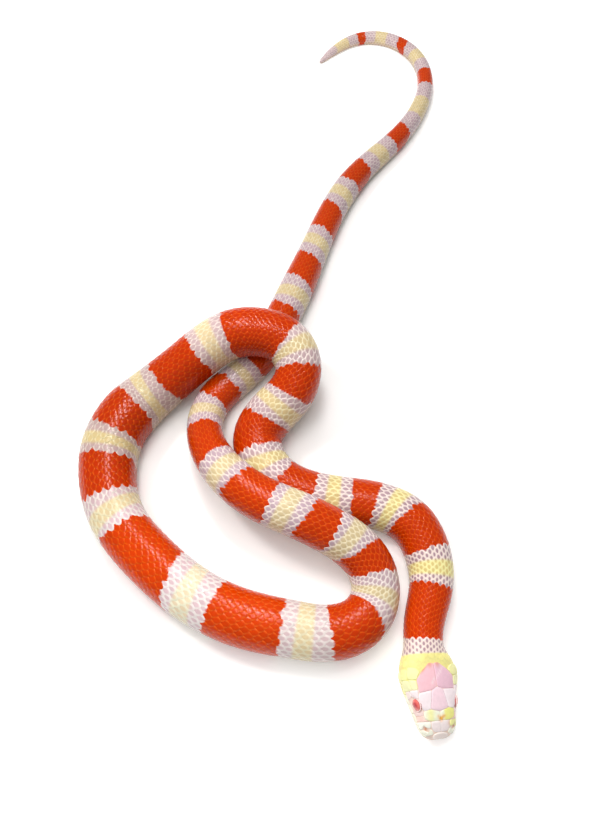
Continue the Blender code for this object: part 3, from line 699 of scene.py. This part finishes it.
def markings(s, q, red):
    """Linear core and rim colours at distance s and share q of the way to the belly's edge."""
    yellow = band_share(s, q, YELLOW_BANDS, 0.1 + 0.8 * smooth((np.abs(q) - 0.5) / 0.5), 1.2)
    low = smooth((np.abs(q) - 0.62) / 0.3)
    under = smooth((np.abs(q) - 1.0) / 0.2)
    nape = smooth((26.6 - s) / 0.6 + 0.5)
    found = []
    for pale_stops, yellow_stops, flank, red_stops, red_flank in (
        (PALE_CORE, YELLOW_CORE, FLANK_CORE, RED_CORE, RED_FLANK_CORE),
        (PALE_RIM, YELLOW_RIM, FLANK_RIM, RED_RIM, RED_FLANK_RIM),
    ):
        pale = mix(along_body(s, pale_stops), along_body(s, yellow_stops), yellow)
        pale = mix(mix(pale, paint(flank), low), paint(BELLY_CREAM), under)
        reds = mix(mix(along_body(s, red_stops), paint(red_flank), low), paint(BELLY_RED), under)
        # Painted light and the snake's own tone: each colour is scaled by its place along the body.
        colour = np.where(red[..., None], reds, pale) * table(TONE_AND_PAINTED_LIGHT, s)[..., None]
        # Painted light: the nape's yellow is painted lighter with the head.
        found.append(mix(colour, paint(HEAD_YELLOW) * HEAD_PAINTED_LIGHT, nape))
    return found


def new_mesh(name, material, points, triangles, uv=None, colours=None, lattice=None):
    """A mesh object from arrays of points in mm and triangles, with its map, colours and lattice."""
    mesh = bpy.data.meshes.new(name)
    points = np.asarray(points, float).reshape(-1, 3) * MM
    triangles = np.asarray(triangles, np.int32).reshape(-1, 3)
    mesh.vertices.add(len(points))
    mesh.vertices.foreach_set("co", points.astype(np.float32).ravel())
    mesh.loops.add(triangles.size)
    mesh.loops.foreach_set("vertex_index", triangles.ravel())
    mesh.polygons.add(len(triangles))
    mesh.polygons.foreach_set("loop_start", np.arange(0, triangles.size, 3, dtype=np.int32))
    mesh.update(calc_edges=True)
    if uv is not None:
        layer = mesh.uv_layers.new(name="OFBake")
        uv = np.asarray(uv, float)
        loops = uv[triangles.ravel()] if len(uv) == len(points) else uv
        layer.data.foreach_set("uv", loops.astype(np.float32).ravel())
    for key, values in (colours or {}).items():
        layer = mesh.attributes.new(key, "FLOAT_COLOR", "POINT")
        rgba = np.concatenate([np.asarray(values), np.ones((len(points), 1))], axis=1)
        layer.data.foreach_set("color", rgba.astype(np.float32).ravel())
    if lattice is not None:
        layer = mesh.attributes.new("lattice", "FLOAT_VECTOR", "POINT")
        layer.data.foreach_set("vector", lattice.astype(np.float32).ravel())
    mesh.materials.append(material)
    mesh.shade_smooth()
    made = bpy.data.objects.new(name, mesh)
    bpy.context.scene.collection.objects.link(made)
    return made


def tube(rows, columns, lap=False):
    """Triangles of a grid that closes on itself across its columns, and along its rows if it laps."""
    r, c = np.meshgrid(np.arange(rows if lap else rows - 1), np.arange(columns), indexing="ij")
    near, far, after = r * columns, (r + 1) % rows * columns, (c + 1) % columns
    first = np.stack([near + c, near + after, far + after], axis=-1)
    second = np.stack([near + c, far + after, far + c], axis=-1)
    return np.concatenate([first.reshape(-1, 3), second.reshape(-1, 3)])


def cap(first, columns, middle, rear=False):
    """Triangles from a ring of points, numbered from first, to the point in its middle."""
    ring = first + np.arange(columns)
    after = np.roll(ring, -1)
    return np.stack([*((ring, after) if rear else (after, ring)), np.full(columns, middle)], axis=1)


def outward(points, faces):
    """The faces of a closed piece, turned to point out."""
    centred = points - points.mean(axis=0)
    a, b, c = (centred[faces[:, k]] for k in range(3))
    return faces[:, ::-1] if np.einsum("ij,ij->", np.cross(a, b), c) < 0 else faces


def blot(s, d, at, out, long, wide):
    """1 at a place of the surface, falling to 0 around it."""
    return np.exp(-(((s - at) / long) ** 2) - ((d - out) / wide) ** 2)


def nostril_share(surface, s, d):
    """1 in the middle of each nostril, falling to 0 around it."""
    at, height = NOSTRIL_AT
    out = float(surface.share_at(np.array(at), angle_of_height(at, height)) * surface.half(at))
    return blot(s, np.abs(d), at, out, *NOSTRIL_REACH)


def build_skin(surface, material):
    """One closed skin under the scales, from the snout to the tip of the tail."""
    body, tip = np.searchsorted(surface.s, BODY_START), len(surface.s) - TIP_ROWS
    s = surface.s[np.r_[0:body, body:tip:3, tip : len(surface.s)]]
    rows, columns = len(s), SKIN_COLUMNS
    shares = np.linspace(-1, 1, columns + 1)[:-1]
    depth = np.where(s > HEAD_END, SKIN_DEPTH, HEAD_SKIN_DEPTH)[:, None]
    round_it = shares[None, :] * surface.half(s)[:, None]
    depth = depth + NOSTRIL_DEPTH * nostril_share(surface, s[:, None], round_it)
    points = surface.at(s[:, None], shares[None, :], -depth)
    ends = np.stack([points[0].mean(axis=0), points[-1].mean(axis=0)])
    count = rows * columns
    rear_cap = cap(count - columns, columns, count + 1, rear=True)
    triangles = np.concatenate([tube(rows, columns), cap(0, columns, count), rear_cap])
    grid_s = np.r_[np.repeat(s, columns), s[0], s[-1]]
    grid_share = np.r_[np.tile(shares, rows), 0, 0]
    q = grid_share / surface.edge_share
    red = is_red(grid_s, q, np.full(len(grid_s), 0.5))
    _, rim = markings(grid_s, q, red)
    belly = smooth((np.abs(q) - 0.9) / 0.3)
    gap = np.where(red[:, None], mix(paint(RED_GAP), paint(BELLY_RED), belly), rim * 0.9)
    front = smooth((16.5 - grid_s) / 2 + 0.5)
    # Painted light: the skin in the head's grooves is painted lighter with the head.
    gap = mix(gap, paint(HEAD_GROOVE) * HEAD_PAINTED_LIGHT, front)
    nostril = nostril_share(surface, grid_s, grid_share * surface.half(grid_s))
    gap = mix(gap, paint(NOSTRIL_COLOUR), nostril)
    corner_s, corner_share = grid_s[triangles], grid_share[triangles]
    wraps = corner_share.max(axis=1) - corner_share.min(axis=1) > 1
    corner_share = np.where(wraps[:, None] & (corner_share < 0), corner_share + 2, corner_share)
    strip = strip_of(corner_s.min(axis=1))[:, None]
    uv = unwrap(corner_s, corner_share * surface.half(corner_s), strip).reshape(-1, 2)
    points = np.concatenate([points.reshape(-1, 3), ends])
    return new_mesh("skin", material, points, triangles, uv, {"core": gap})


def scale_template():
    """One scale's points, a along (rear +1) and b across, with the kind of each, and its triangles."""
    count, levels = SCALE_POINTS, len(SCALE_RINGS)
    turn = np.arange(count) * 2 * math.pi / count
    outline = np.stack([np.cos(turn), np.sin(turn)], axis=1)
    outline = np.copysign(np.abs(outline) ** (2 / SCALE_POWER), outline)
    points = np.concatenate([outline * share for share, _ in SCALE_RINGS] + [np.zeros((2, 2))])
    kinds = [kind for _, kind in SCALE_RINGS for _ in range(count)] + ["top", "under"]
    top, under = len(points) - 2, len(points) - 1
    last = (levels - 1) * count
    faces = [tube(levels, count), cap(last, count, top, rear=True), cap(0, count, under)]
    return points, kinds, np.concatenate(faces)


def seats(start, end):
    """Fine distances along the body, and the number of the scale that each one falls on."""
    fine = np.arange(start, end, 0.1)
    return fine, np.r_[0, np.cumsum(0.1 / table(SCALE_PITCH, fine[:-1]))]


def lattice(surface):
    """Centres of the scales of the back and sides: distance, distance round, and spacing."""
    fine, phase = seats(SCALES_START, surface.spine.length + 0.5)
    found = []
    for row in range(-HIGHEST_ROW, HIGHEST_ROW + 1):
        numbers = np.arange(0, math.floor(phase[-1]) + 1) + (row % 2) / 2
        s = np.interp(numbers, phase, fine)
        spacing = table(ROW_SHARE, s) * surface.spine.width(np.maximum(s, BODY_START))
        d = np.sign(row) * spacing * (abs(row) + ROW_GROWTH * row * row)
        edge = surface.edge(s) - 0.12 * spacing
        limit = np.where(s < THROAT_END, surface.half(s) * THROAT_SHARE, edge)
        keep = (np.abs(d) < limit) & (s > table(NAPE_LINE, np.abs(d)))
        growth = 1 + 2 * ROW_GROWTH * abs(row)
        found.append(np.stack([s, d, spacing * growth], axis=1)[keep])
    found = np.concatenate(found)
    return found[np.argsort(found[:, 0], kind="stable")]


def build_scales(surface, name, centres, material):
    """Many closed, domed scales over the skin, joined in one mesh."""
    local, kinds, faces = scale_template()
    s0, d0, spacing = centres.T
    pitch = table(SCALE_PITCH, s0)
    count, vertices = len(s0), len(local)
    noise = rng.random((count, 4))
    half_length = pitch * (HALF_LENGTH[0] + HALF_LENGTH[1] * noise[:, 0])
    half_width = spacing * (HALF_WIDTH[0] + HALF_WIDTH[1] * noise[:, 1])
    a, b = local.T
    s = s0[:, None] + a * half_length[:, None] + 0.02 * pitch[:, None]
    d = d0[:, None] + b * half_width[:, None]
    size = np.clip(spacing / FULL_SPACING, 0.45, 1.15)[:, None]
    slope = REAR_RISE * ((a + 1) / 2) ** 0.8
    dome = SCALE_DOME * (1 - np.clip(a**2 * 0.7 + b**2, 0, 1))
    rise = FRONT_RISE + slope + dome + np.array([SCALE_LIFTS[kind] for kind in kinds])
    rise = rise * size + (noise[:, 2:3] - 0.5) * RISE_CHANCE
    points = surface.at(s, d / surface.half(s), rise)
    near = s0[:, None] + (s - s0[:, None]) * 0.5
    q = d / surface.edge(s)
    red = is_red(near, q, np.repeat(noise[:, 3:4], vertices, axis=1))
    tint = 1 + (rng.random((count, 1, 1)) - 0.5) * TINT_CHANCE
    core, rim = ((colour * tint).reshape(-1, 3) for colour in markings(s, q, red))
    triangles = faces[None] + (np.arange(count) * vertices)[:, None, None]
    uv = unwrap(s0, d0)[:, None, :] + local[None] * SCALE_UNWRAP
    spot = table(SPOT_SIZE, s0)[:, None] * (0.85 + 0.3 * noise[:, 1:2])
    spot = np.where(red, RED_SPOT, spot)
    chance = np.repeat(noise[:, :1], vertices, axis=1)
    seat = np.stack([(a + 0.05) * 0.62 / spot, b / spot, chance], axis=-1).reshape(-1, 3)
    uv = uv.reshape(-1, 2)
    return new_mesh(name, material, points, triangles, uv, {"core": core, "rim": rim}, seat)


def scute_faces(across, along):
    """Triangles of a plate: its upper grid of points, the lower one after it, and the wall between."""
    grid = along * across
    r, c = np.meshgrid(np.arange(along - 1), np.arange(across - 1), indexing="ij")
    k = (r * across + c).ravel()
    up = np.concatenate([
        np.stack([k, k + across, k + across + 1], axis=1), np.stack([k, k + across + 1, k + 1], axis=1),
    ])
    rim = np.r_[
        np.arange(across), np.arange(1, along) * across + across - 1,
        (along - 1) * across + np.arange(across - 2, -1, -1), np.arange(along - 2, 0, -1) * across,
    ]
    after = np.roll(rim, -1)
    wall = np.concatenate([
        np.stack([rim, after, after + grid], axis=1), np.stack([rim, after + grid, rim + grid], axis=1),
    ])
    return np.concatenate([up, up[:, ::-1] + grid, wall])


def build_scutes(surface, name, start, end, material):
    """The broad plates across the belly, each with its rear edge over the next."""
    fine, phase = seats(start, end)
    fronts = np.interp(np.arange(0, phase[-1] - 0.5), phase, fine)
    across, along = SCUTE_POINTS, len(SCUTE_STEPS)
    grid = along * across
    a, b = SCUTE_STEPS[:, None], np.linspace(-1, 1, across)[None, :]
    rounded = np.sqrt(np.clip(1 - b**8, 0, 1))
    flat = np.stack([np.repeat(a, across), np.tile(b[0], along)], axis=1)
    points, uvs, cores, seat = [], [], [], []
    for n, front in enumerate(fronts):
        pitch = float(table(SCALE_PITCH, front))
        half_girth = float(surface.half(front))
        overlap = 0.55 * float(table(ROW_SHARE, front) * surface.spine.width(front))
        reach = half_girth * (1 - surface.edge_share) + overlap
        s = front + a * pitch * SCUTE_REACH * (0.82 + 0.18 * rounded)
        share = 1 + b * reach / half_girth
        size = float(np.clip(pitch / FULL_PITCH, 0.45, 1.0))
        rise = SCUTE_RISES[:, None] * size
        levels = rise, rise - SCUTE_THICKNESS * size
        points += [surface.at(s, share, level).reshape(-1, 3) for level in levels]
        q = (1 - np.abs(b[0]) * reach / half_girth) / surface.edge_share * np.where(b[0] > 0, -1, 1)
        middle = np.full(across, front + pitch / 2)
        core, _ = markings(middle, q, is_red(middle, q, np.full(across, 0.5)))
        cores.append(np.tile(core, (2 * along, 1)))
        root = unwrap(np.array(front), half_girth * 0.94)
        uvs.append(np.tile(root + (flat - [0.5, 0]) * SCALE_UNWRAP, (2, 1)))
        seat.append(np.tile(np.concatenate([flat, np.full((grid, 1), n % 7 / 7)], axis=1), (2, 1)))
    bases = np.arange(len(fronts))[:, None, None] * 2 * grid
    cores = np.concatenate(cores)
    return new_mesh(
        name, material, np.concatenate(points), scute_faces(across, along)[None] + bases,
        np.concatenate(uvs), {"core": cores, "rim": cores}, np.concatenate(seat),
    )


def angle_of_side(s, y):
    """The angle on the upper head at a distance y to one side."""
    share = np.minimum(0.999, np.abs(y) / (table(HEAD_WIDTH, np.maximum(s, 0)) / 2))
    return np.copysign(np.arcsin(share ** (table(HEAD_BACK_POWER, s) / 2)), y)


def angle_of_height(s, z):
    """The angle on one side of the head at a height z."""
    widest = table(HEAD_WIDEST, s)
    above = np.clip((z - widest) / (table(HEAD_TOP, s) - widest), 0, 0.999)
    below = np.clip((widest - z) / (widest - table(HEAD_BOTTOM, s)), 0, 0.999)
    high = np.arccos(above ** (table(HEAD_BACK_POWER, s) / 2))
    low = math.pi - np.arccos(below ** (table(HEAD_BELLY_POWER, s) / 2))
    return np.where(z > widest, high, low)


def divided(outline, step):
    """The closed outline with points at equal steps along each side."""
    points = []
    for start, end in zip(outline, np.roll(outline, -1, axis=0)):
        parts = max(1, round(float(np.linalg.norm(end - start)) / step))
        points += [start + (end - start) * k / parts for k in range(parts)]
    return np.array(points)


def inward(outline, distance):
    """The outline moved in by a distance, along the normals of its sides."""
    along = unit(np.roll(outline, -1, axis=0) - np.roll(outline, 1, axis=0))
    normal = np.stack([-along[:, 1], along[:, 0]], axis=1)
    x, y = outline.T
    turn = np.sum(x * np.roll(y, -1) - np.roll(x, -1) * y)
    return outline + normal * np.sign(turn) * distance


def plate_mesh(surface, outline, to_angle, side):
    """Points of one shield, with their distance, side place and rim share, and its triangles."""
    s, v = divided(np.array(outline, float), PLATE_STEP).T
    share = surface.share_at(s, to_angle(s, v)) * side
    flat = np.stack([s, share * surface.half(s)], axis=1)
    flat = inward(divided(rounded_corners(flat), PLATE_STEP), PLATE_MARGIN)
    middle = flat.mean(axis=0)
    rings = [(inward(flat, inset), height) for inset, height in PLATE_RINGS]
    shoulder, top = rings[-1]
    for part in CROWN_RINGS:
        rings.append((middle + (shoulder - middle) * part, top + PLATE_CROWN * (1 - part)))
    count, levels = len(flat), len(rings)
    places = np.concatenate([ring for ring, _ in rings] + [middle[None]])
    rise = np.append(np.repeat([height for _, height in rings], count), top + PLATE_CROWN)
    points = surface.at(places[:, 0], places[:, 1] / surface.half(places[:, 0]), rise)
    fan = np.arange(1, count - 1)
    faces = np.concatenate([
        tube(levels, count), cap((levels - 1) * count, count, len(places) - 1, rear=True),
        np.stack([fan + 1, fan, np.zeros(count - 2, int)], axis=1),
    ])
    rim = np.append(np.repeat([1.0, 1.0, 1.0, 0.6, 0.0, 0.0, 0.0, 0.0], count), 0.0)
    return points, places, rim, outward(points, faces)


def rounded_corners(outline):
    """The divided outline with its sharp corners softened by averaging."""
    for _ in range(2):
        outline = (np.roll(outline, 1, axis=0) + 2 * outline + np.roll(outline, -1, axis=0)) / 4
    return outline


def marks(s, d, places):
    """How strongly a point is marked, from 0 to 1."""
    return np.clip(sum(strength * blot(s, d, *place) for *place, strength in places), 0, 1)


def shield_colour(name, places):
    """Linear colour of a shield at its points: s from the snout, and d round from the middle."""
    s, d = places.T
    colour = np.broadcast_to(paint(SHIELD_COLOURS[name]), (len(s), 3)).copy()
    if name == "parietal":
        colour = mix(paint(PARIETAL_LEFT), paint(PARIETAL_RIGHT), smooth(d / 0.4 + 0.5))
        streaks = blot(s, d - (s - 20.0) * 0.9, 20.0, 1.6, 1.8, 0.4)
        streaks += blot(s, d - (s - 17.6) * 0.5, 17.6, -1.2, 1.2, 0.3)
        colour = mix(colour, paint(PARIETAL_STREAK), np.clip(streaks, 0, 0.7))
        mark = blot(s, np.abs(d), 22.9, 1.3, 0.7, 0.8)
        mark += np.exp(-(((d + 4.4 - (s - 21.2) * 1.25) / 0.55) ** 2) - ((s - 21.4) / 1.4) ** 2)
        colour = mix(colour, paint(NAPE_MARK), np.clip(mark, 0, 1) * 0.85)
    if name == "prefrontal":
        right = smooth((d - 0.9) / 1.0)
        left = np.exp(-(((d + 3.4) / 1.3) ** 2)) * 0.7
        colour = mix(colour, paint(CROWN_YELLOW), np.maximum(right, left))
        colour = mix(colour, paint(ORANGE_MARK), marks(s, d, PREFRONTAL_MARKS))
    if name == "internasal":
        colour = mix(colour, paint(ORANGE_MARK), marks(s, d, INTERNASAL_MARKS) * 0.7)
    if name == "postnasal":
        colour = mix(colour, paint(CROWN_YELLOW), smooth(d / 2) * 0.8)
    if name == "upper_lip":
        colour = mix(colour, paint(CROWN_YELLOW), smooth((s - 13.5) / 2) * 0.6)
    # Painted light: the shield's colour is painted lighter, held below the lightest a shield gives back.
    return np.minimum(colour * HEAD_PAINTED_LIGHT, SHIELD_LIGHTEST)


def build_shields(surface, material):
    """Every shield and lip plate of the head, as closed plates in one mesh."""
    plates = []
    for name, outline in PAIRED_SHIELDS.items():
        plates += [(name, outline, angle_of_side, side) for side in (1, -1)]
    plates += [(name, outline, angle_of_side, 1) for name, outline in MIDDLE_SHIELDS.items()]
    for side in (1, -1):
        plates += [(name, outline, angle_of_height, side) for name, outline in SIDE_SHIELDS.items()]
        for name, (edges, near, far) in LIP_PLATES.items():
            for start, end in zip(edges, edges[1:]):
                middle = (start + end) / 2
                corners = (start, near), (middle, near), (end, near), (end, far), (start, far)
                outline = [(s, float(table(MOUTH_LINE, s)) + reach) for s, reach in corners]
                plates.append((name, outline, angle_of_height, side))
    points, faces, cores, uvs, seat, base = [], [], [], [], [], 0
    for number, (name, outline, to_angle, side) in enumerate(plates):
        at, flat, rim, triangles = plate_mesh(surface, outline, to_angle, side)
        points.append(at)
        faces.append(triangles + base)
        base += len(at)
        cores.append(shield_colour(name, flat))
        uvs.append(unwrap(flat[:, 0], flat[:, 1]))
        seat.append(np.stack([rim * 3, rim * 0, np.full(len(rim), number / len(plates))], axis=1))
    cores = np.concatenate(cores)
    # Painted light: the rims of the shields are painted a little lighter than their middles, against the
    # shade of the grooves between them.
    return new_mesh(
        "head_shields", material, np.concatenate(points), np.concatenate(faces), np.concatenate(uvs),
        {"core": cores, "rim": np.minimum(cores * 1.04, RIM_LIGHTEST)}, np.concatenate(seat),
    )


def turned(a, b, angle):
    return a * math.cos(angle) - b * math.sin(angle), b * math.cos(angle) + a * math.sin(angle)


def eye_point(spine, side, along, out, up):
    """A point of an eye from its centre, in mm along the head, outward and up."""
    s, z = EYE_AT
    y, _ = head_section(np.array(s), angle_of_height(np.array(s), np.array(z)))
    along, out = turned(along, out, EYE_TURN)
    out, up = turned(out, up, EYE_TILT)
    return spine.place(s + along, side * (y + EYE_BULGE - EYE_DEPTH + out), z + up)


def build_eye(spine, side, name, material):
    """An eyeball with its pupil facing out, as one closed ball."""
    rings, turns = 24, 48
    polar = np.linspace(0, math.pi, rings + 1)[1:-1, None]
    turn = np.arange(turns) * 2 * math.pi / turns
    out = np.r_[(np.cos(polar) * np.ones(turns)).ravel(), 1, -1]
    along = np.r_[(np.sin(polar) * np.cos(turn)).ravel(), 0, 0]
    up = np.r_[(np.sin(polar) * np.sin(turn)).ravel(), 0, 0]
    points = eye_point(spine, side, along * EYE_RADIUS, out * EYE_DEPTH, up * EYE_RADIUS)
    count = (rings - 1) * turns
    faces = np.concatenate([
        tube(rings - 1, turns), cap(0, turns, count), cap(count - turns, turns, count + 1, rear=True),
    ])
    seat = np.stack([np.hypot(along, up) + (out < 0) * 2, along, up], axis=1)
    return new_mesh(name, material, points, outward(points, faces), lattice=seat)


def build_eye_rim(spine, side, name, material):
    """The ring of tiny scales round an eye, as one closed ring."""
    turns, around, beads = 90, 10, 18
    turn = np.arange(turns)[:, None] * 2 * math.pi / turns
    lap = np.arange(around)[None, :] * 2 * math.pi / around
    level = EYE_DEPTH - EYE_BULGE
    inner = EYE_RADIUS * math.sqrt(1 - (level / EYE_DEPTH) ** 2)
    swell = 1 + 0.12 * np.cos(turn * beads)
    radius = inner + 0.14 + RIM_WIDTH * np.cos(lap) * swell
    out = level + 0.04 + RIM_HEIGHT * np.sin(lap) * swell
    along, up = radius * np.cos(turn), radius * np.sin(turn)
    points = eye_point(spine, side, along, out, up).reshape(-1, 3)
    # Painted light: the eye rim is painted lighter with the head.
    colour = np.broadcast_to(paint(SHIELD_COLOURS["preocular"]) * HEAD_PAINTED_LIGHT, points.shape)
    return new_mesh(
        name, material, points, outward(points, tube(turns, around, lap=True)),
        unwrap(EYE_AT[0] + along.ravel(), side * (7.5 - up.ravel())), {"core": colour, "rim": colour},
        np.zeros(points.shape),
    )


def feed(tree, target, inputs):
    """Gives each socket of a node its value, or the output that feeds it."""
    for key, value in inputs.items():
        if isinstance(value, bpy.types.NodeSocket):
            tree.links.new(value, target.inputs[key])
        else:
            target.inputs[key].default_value = value


def node(tree, kind, inputs=None, **settings):
    made = tree.nodes.new("ShaderNode" + kind)
    for key, value in settings.items():
        setattr(made, key, value)
    feed(tree, made, inputs or {})
    return made


def attribute(tree, name, output="Color"):
    return node(tree, "Attribute", attribute_name=name).outputs[output]


def new_material(name):
    """A new material, its node tree and its shader."""
    made = bpy.data.materials.new(name)
    made.use_nodes = True
    return made, made.node_tree, made.node_tree.nodes["Principled BSDF"]


def mottled(tree, colour, scale, detail, low, high):
    """The colour, made darker and lighter by a fine noise from low to high."""
    place = node(tree, "TexCoord").outputs["Object"]
    noise = node(tree, "TexNoise", {"Vector": place, "Scale": scale, "Detail": detail})
    shade = node(tree, "MapRange", {"Value": noise.outputs["Fac"], "To Min": low, "To Max": high})
    mixed = node(tree, "VectorMath", {0: colour, 1: shade.outputs["Result"]}, operation="MULTIPLY")
    return mixed.outputs["Vector"]


def eye_material():
    """A wet, clear eye of the albino form: red pupil, pink iris and a darker rim."""
    made, tree, shader = new_material("snake_eye")
    place = node(tree, "SeparateXYZ", {0: attribute(tree, "lattice", "Vector")})
    ramp = node(tree, "ValToRGB", {"Fac": place.outputs["X"]})
    stops = ramp.color_ramp.elements
    while len(stops) < len(EYE_COLOURS):
        stops.new(1.0)
    for stop, (at, colour) in zip(stops, EYE_COLOURS):
        stop.position = at
        stop.color = (*(paint(colour) / LIGHTEST), 1)
    feed(tree, shader, {
        "Base Color": ramp.outputs["Color"], "Roughness": 0.12, "Coat Weight": 0.8,
        "Coat Roughness": 0.03,
    })
    return made


def scale_material():
    """Glossy scales: a core and a rim colour from the mesh, with fine mottling and a soft bump."""
    made, tree, shader = new_material("snake_scales")
    place = node(tree, "SeparateXYZ", {0: attribute(tree, "lattice", "Vector")}).outputs
    flat = node(tree, "CombineXYZ", {"X": place["X"], "Y": place["Y"]})
    length = node(tree, "VectorMath", {0: flat.outputs[0]}, operation="LENGTH")
    spot = node(
        tree, "MapRange", {"Value": length.outputs["Value"], "From Min": 0.7, "From Max": 1.35},
        interpolation_type="SMOOTHSTEP",
    )
    core, rim = attribute(tree, "core"), attribute(tree, "rim")
    blend = node(tree, "Mix", {"Factor": spot.outputs["Result"], "A": core, "B": rim}, data_type="RGBA")
    colour = mottled(tree, blend.outputs["Result"], 900, 3, 0.91, 1.09)
    fine = node(tree, "TexNoise", {"Vector": node(tree, "TexCoord").outputs["Object"], "Scale": 2600})
    bump = node(tree, "Bump", {"Height": fine.outputs["Fac"], "Strength": 0.08, "Distance": 0.0002})
    feed(tree, shader, {
        "Base Color": colour, "Normal": bump.outputs["Normal"], "Roughness": 0.13,
        "Specular IOR Level": 0.22,
    })
    return made


def skin_material():
    """The skin between the scales, with its colour from the mesh."""
    made, tree, shader = new_material("snake_skin")
    feed(tree, shader, {
        "Base Color": mottled(tree, attribute(tree, "core"), 1500, 2, 0.85, 1.1), "Roughness": 0.5,
    })
    return made


def build_floor():
    """A pale floor with a painted glow, a little brighter away from the snake, so that the floor round
    the coils is darker as painted shade.
    """
    made, tree, shader = new_material("pale_floor")
    place = node(tree, "NewGeometry").outputs["Position"]
    # Painted light: the floor glows more the farther it lies from the middle of the coils.
    away = node(tree, "VectorMath", {0: place, 1: PAINTED_GLOW_MIDDLE}, operation="DISTANCE")
    painted_glow = node(tree, "MapRange", {"Value": away.outputs["Value"], **FLOOR_PAINTED_GLOW})
    feed(tree, shader, {
        "Base Color": (0.9, 0.9, 0.905, 1), "Roughness": 0.6, "Specular IOR Level": 0.2,
        "Emission Color": (1, 1, 1, 1), "Emission Strength": painted_glow.outputs["Result"],
    })
    mesh = bpy.data.meshes.new("floor")
    corners = [(x * FLOOR_REACH, y * FLOOR_REACH, 0) for x, y in ((-1, -1), (1, -1), (1, 1), (-1, 1))]
    mesh.from_pydata(corners, [], [(0, 1, 2, 3)])
    mesh.materials.append(made)
    floor = bpy.data.objects.new("floor", mesh)
    bpy.context.scene.collection.objects.link(floor)


def area_light(name, place, target, size, watts, gloss):
    """An oval lamp that faces its target."""
    data = bpy.data.lights.new(name, "AREA")
    data.shape = "ELLIPSE"
    data.size, data.size_y = size
    data.energy = watts
    data.color = LAMP_COLOUR
    item = bpy.data.objects.new(name, data)
    bpy.context.scene.collection.objects.link(item)
    item.location = place
    item.rotation_euler = (Vector(target) - Vector(place)).to_track_quat("-Z", "Y").to_euler()
    item.visible_glossy = gloss


def build_studio(spine):
    """The world, the lamps and the camera."""
    scene = bpy.context.scene
    scene.view_settings.view_transform = "Standard"
    world = bpy.data.worlds.new("studio")
    world.use_nodes = True
    back = world.node_tree.nodes["Background"]
    back.inputs["Color"].default_value = (1, 1, 1, 1)
    back.inputs["Strength"].default_value = WORLD_LIGHT
    scene.world = world
    for number, lamp in enumerate(LAMPS):
        area_light(f"lamp_{number}", *lamp)
    data = bpy.data.cameras.new("camera")
    data.sensor_fit = "AUTO"
    data.sensor_width = SENSOR
    data.lens = FOCAL_PIXELS / IMAGE_HEIGHT * SENSOR
    data.clip_start = 0.01
    camera = bpy.data.objects.new("camera", data)
    scene.collection.objects.link(camera)
    camera.location = (-spine.centre[0] * MM, -spine.centre[1] * MM, CAMERA_HEIGHT)
    camera.rotation_euler = (CAMERA_TILT, 0, 0)
    scene.camera = camera


def main():
    spine = Spine()
    surface = Surface(spine)
    scales = scale_material()
    eye_shine = eye_material()
    skin = build_skin(surface, skin_material())
    eyes = {"left": 1, "right": -1}
    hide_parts(*[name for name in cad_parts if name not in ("eye_left", "eye_right")])
    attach(skin, "root")
    head_pieces = [build_shields(surface, scales)]
    for name, side in eyes.items():
        ball = build_eye(spine, side, "eyeball_" + name, eye_shine)
        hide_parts("eye_" + name)
        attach(ball, "root")
        head_pieces.append(build_eye_rim(spine, side, "eye_rim_" + name, scales))
    for piece in head_pieces:
        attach(piece, "root")
    centres = lattice(surface)
    for name, start, end in STRETCHES:
        chosen = centres[(centres[:, 0] >= start) & (centres[:, 0] < end)]
        coat = build_scales(surface, "scales_" + name, chosen, scales)
        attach(coat, "root")
        first, last = max(start, SCUTES_START), min(end, spine.length - 2)
        scutes = build_scutes(surface, "scutes_" + name, first, last, scales)
        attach(scutes, "root")
    build_floor()
    build_studio(spine)


main()
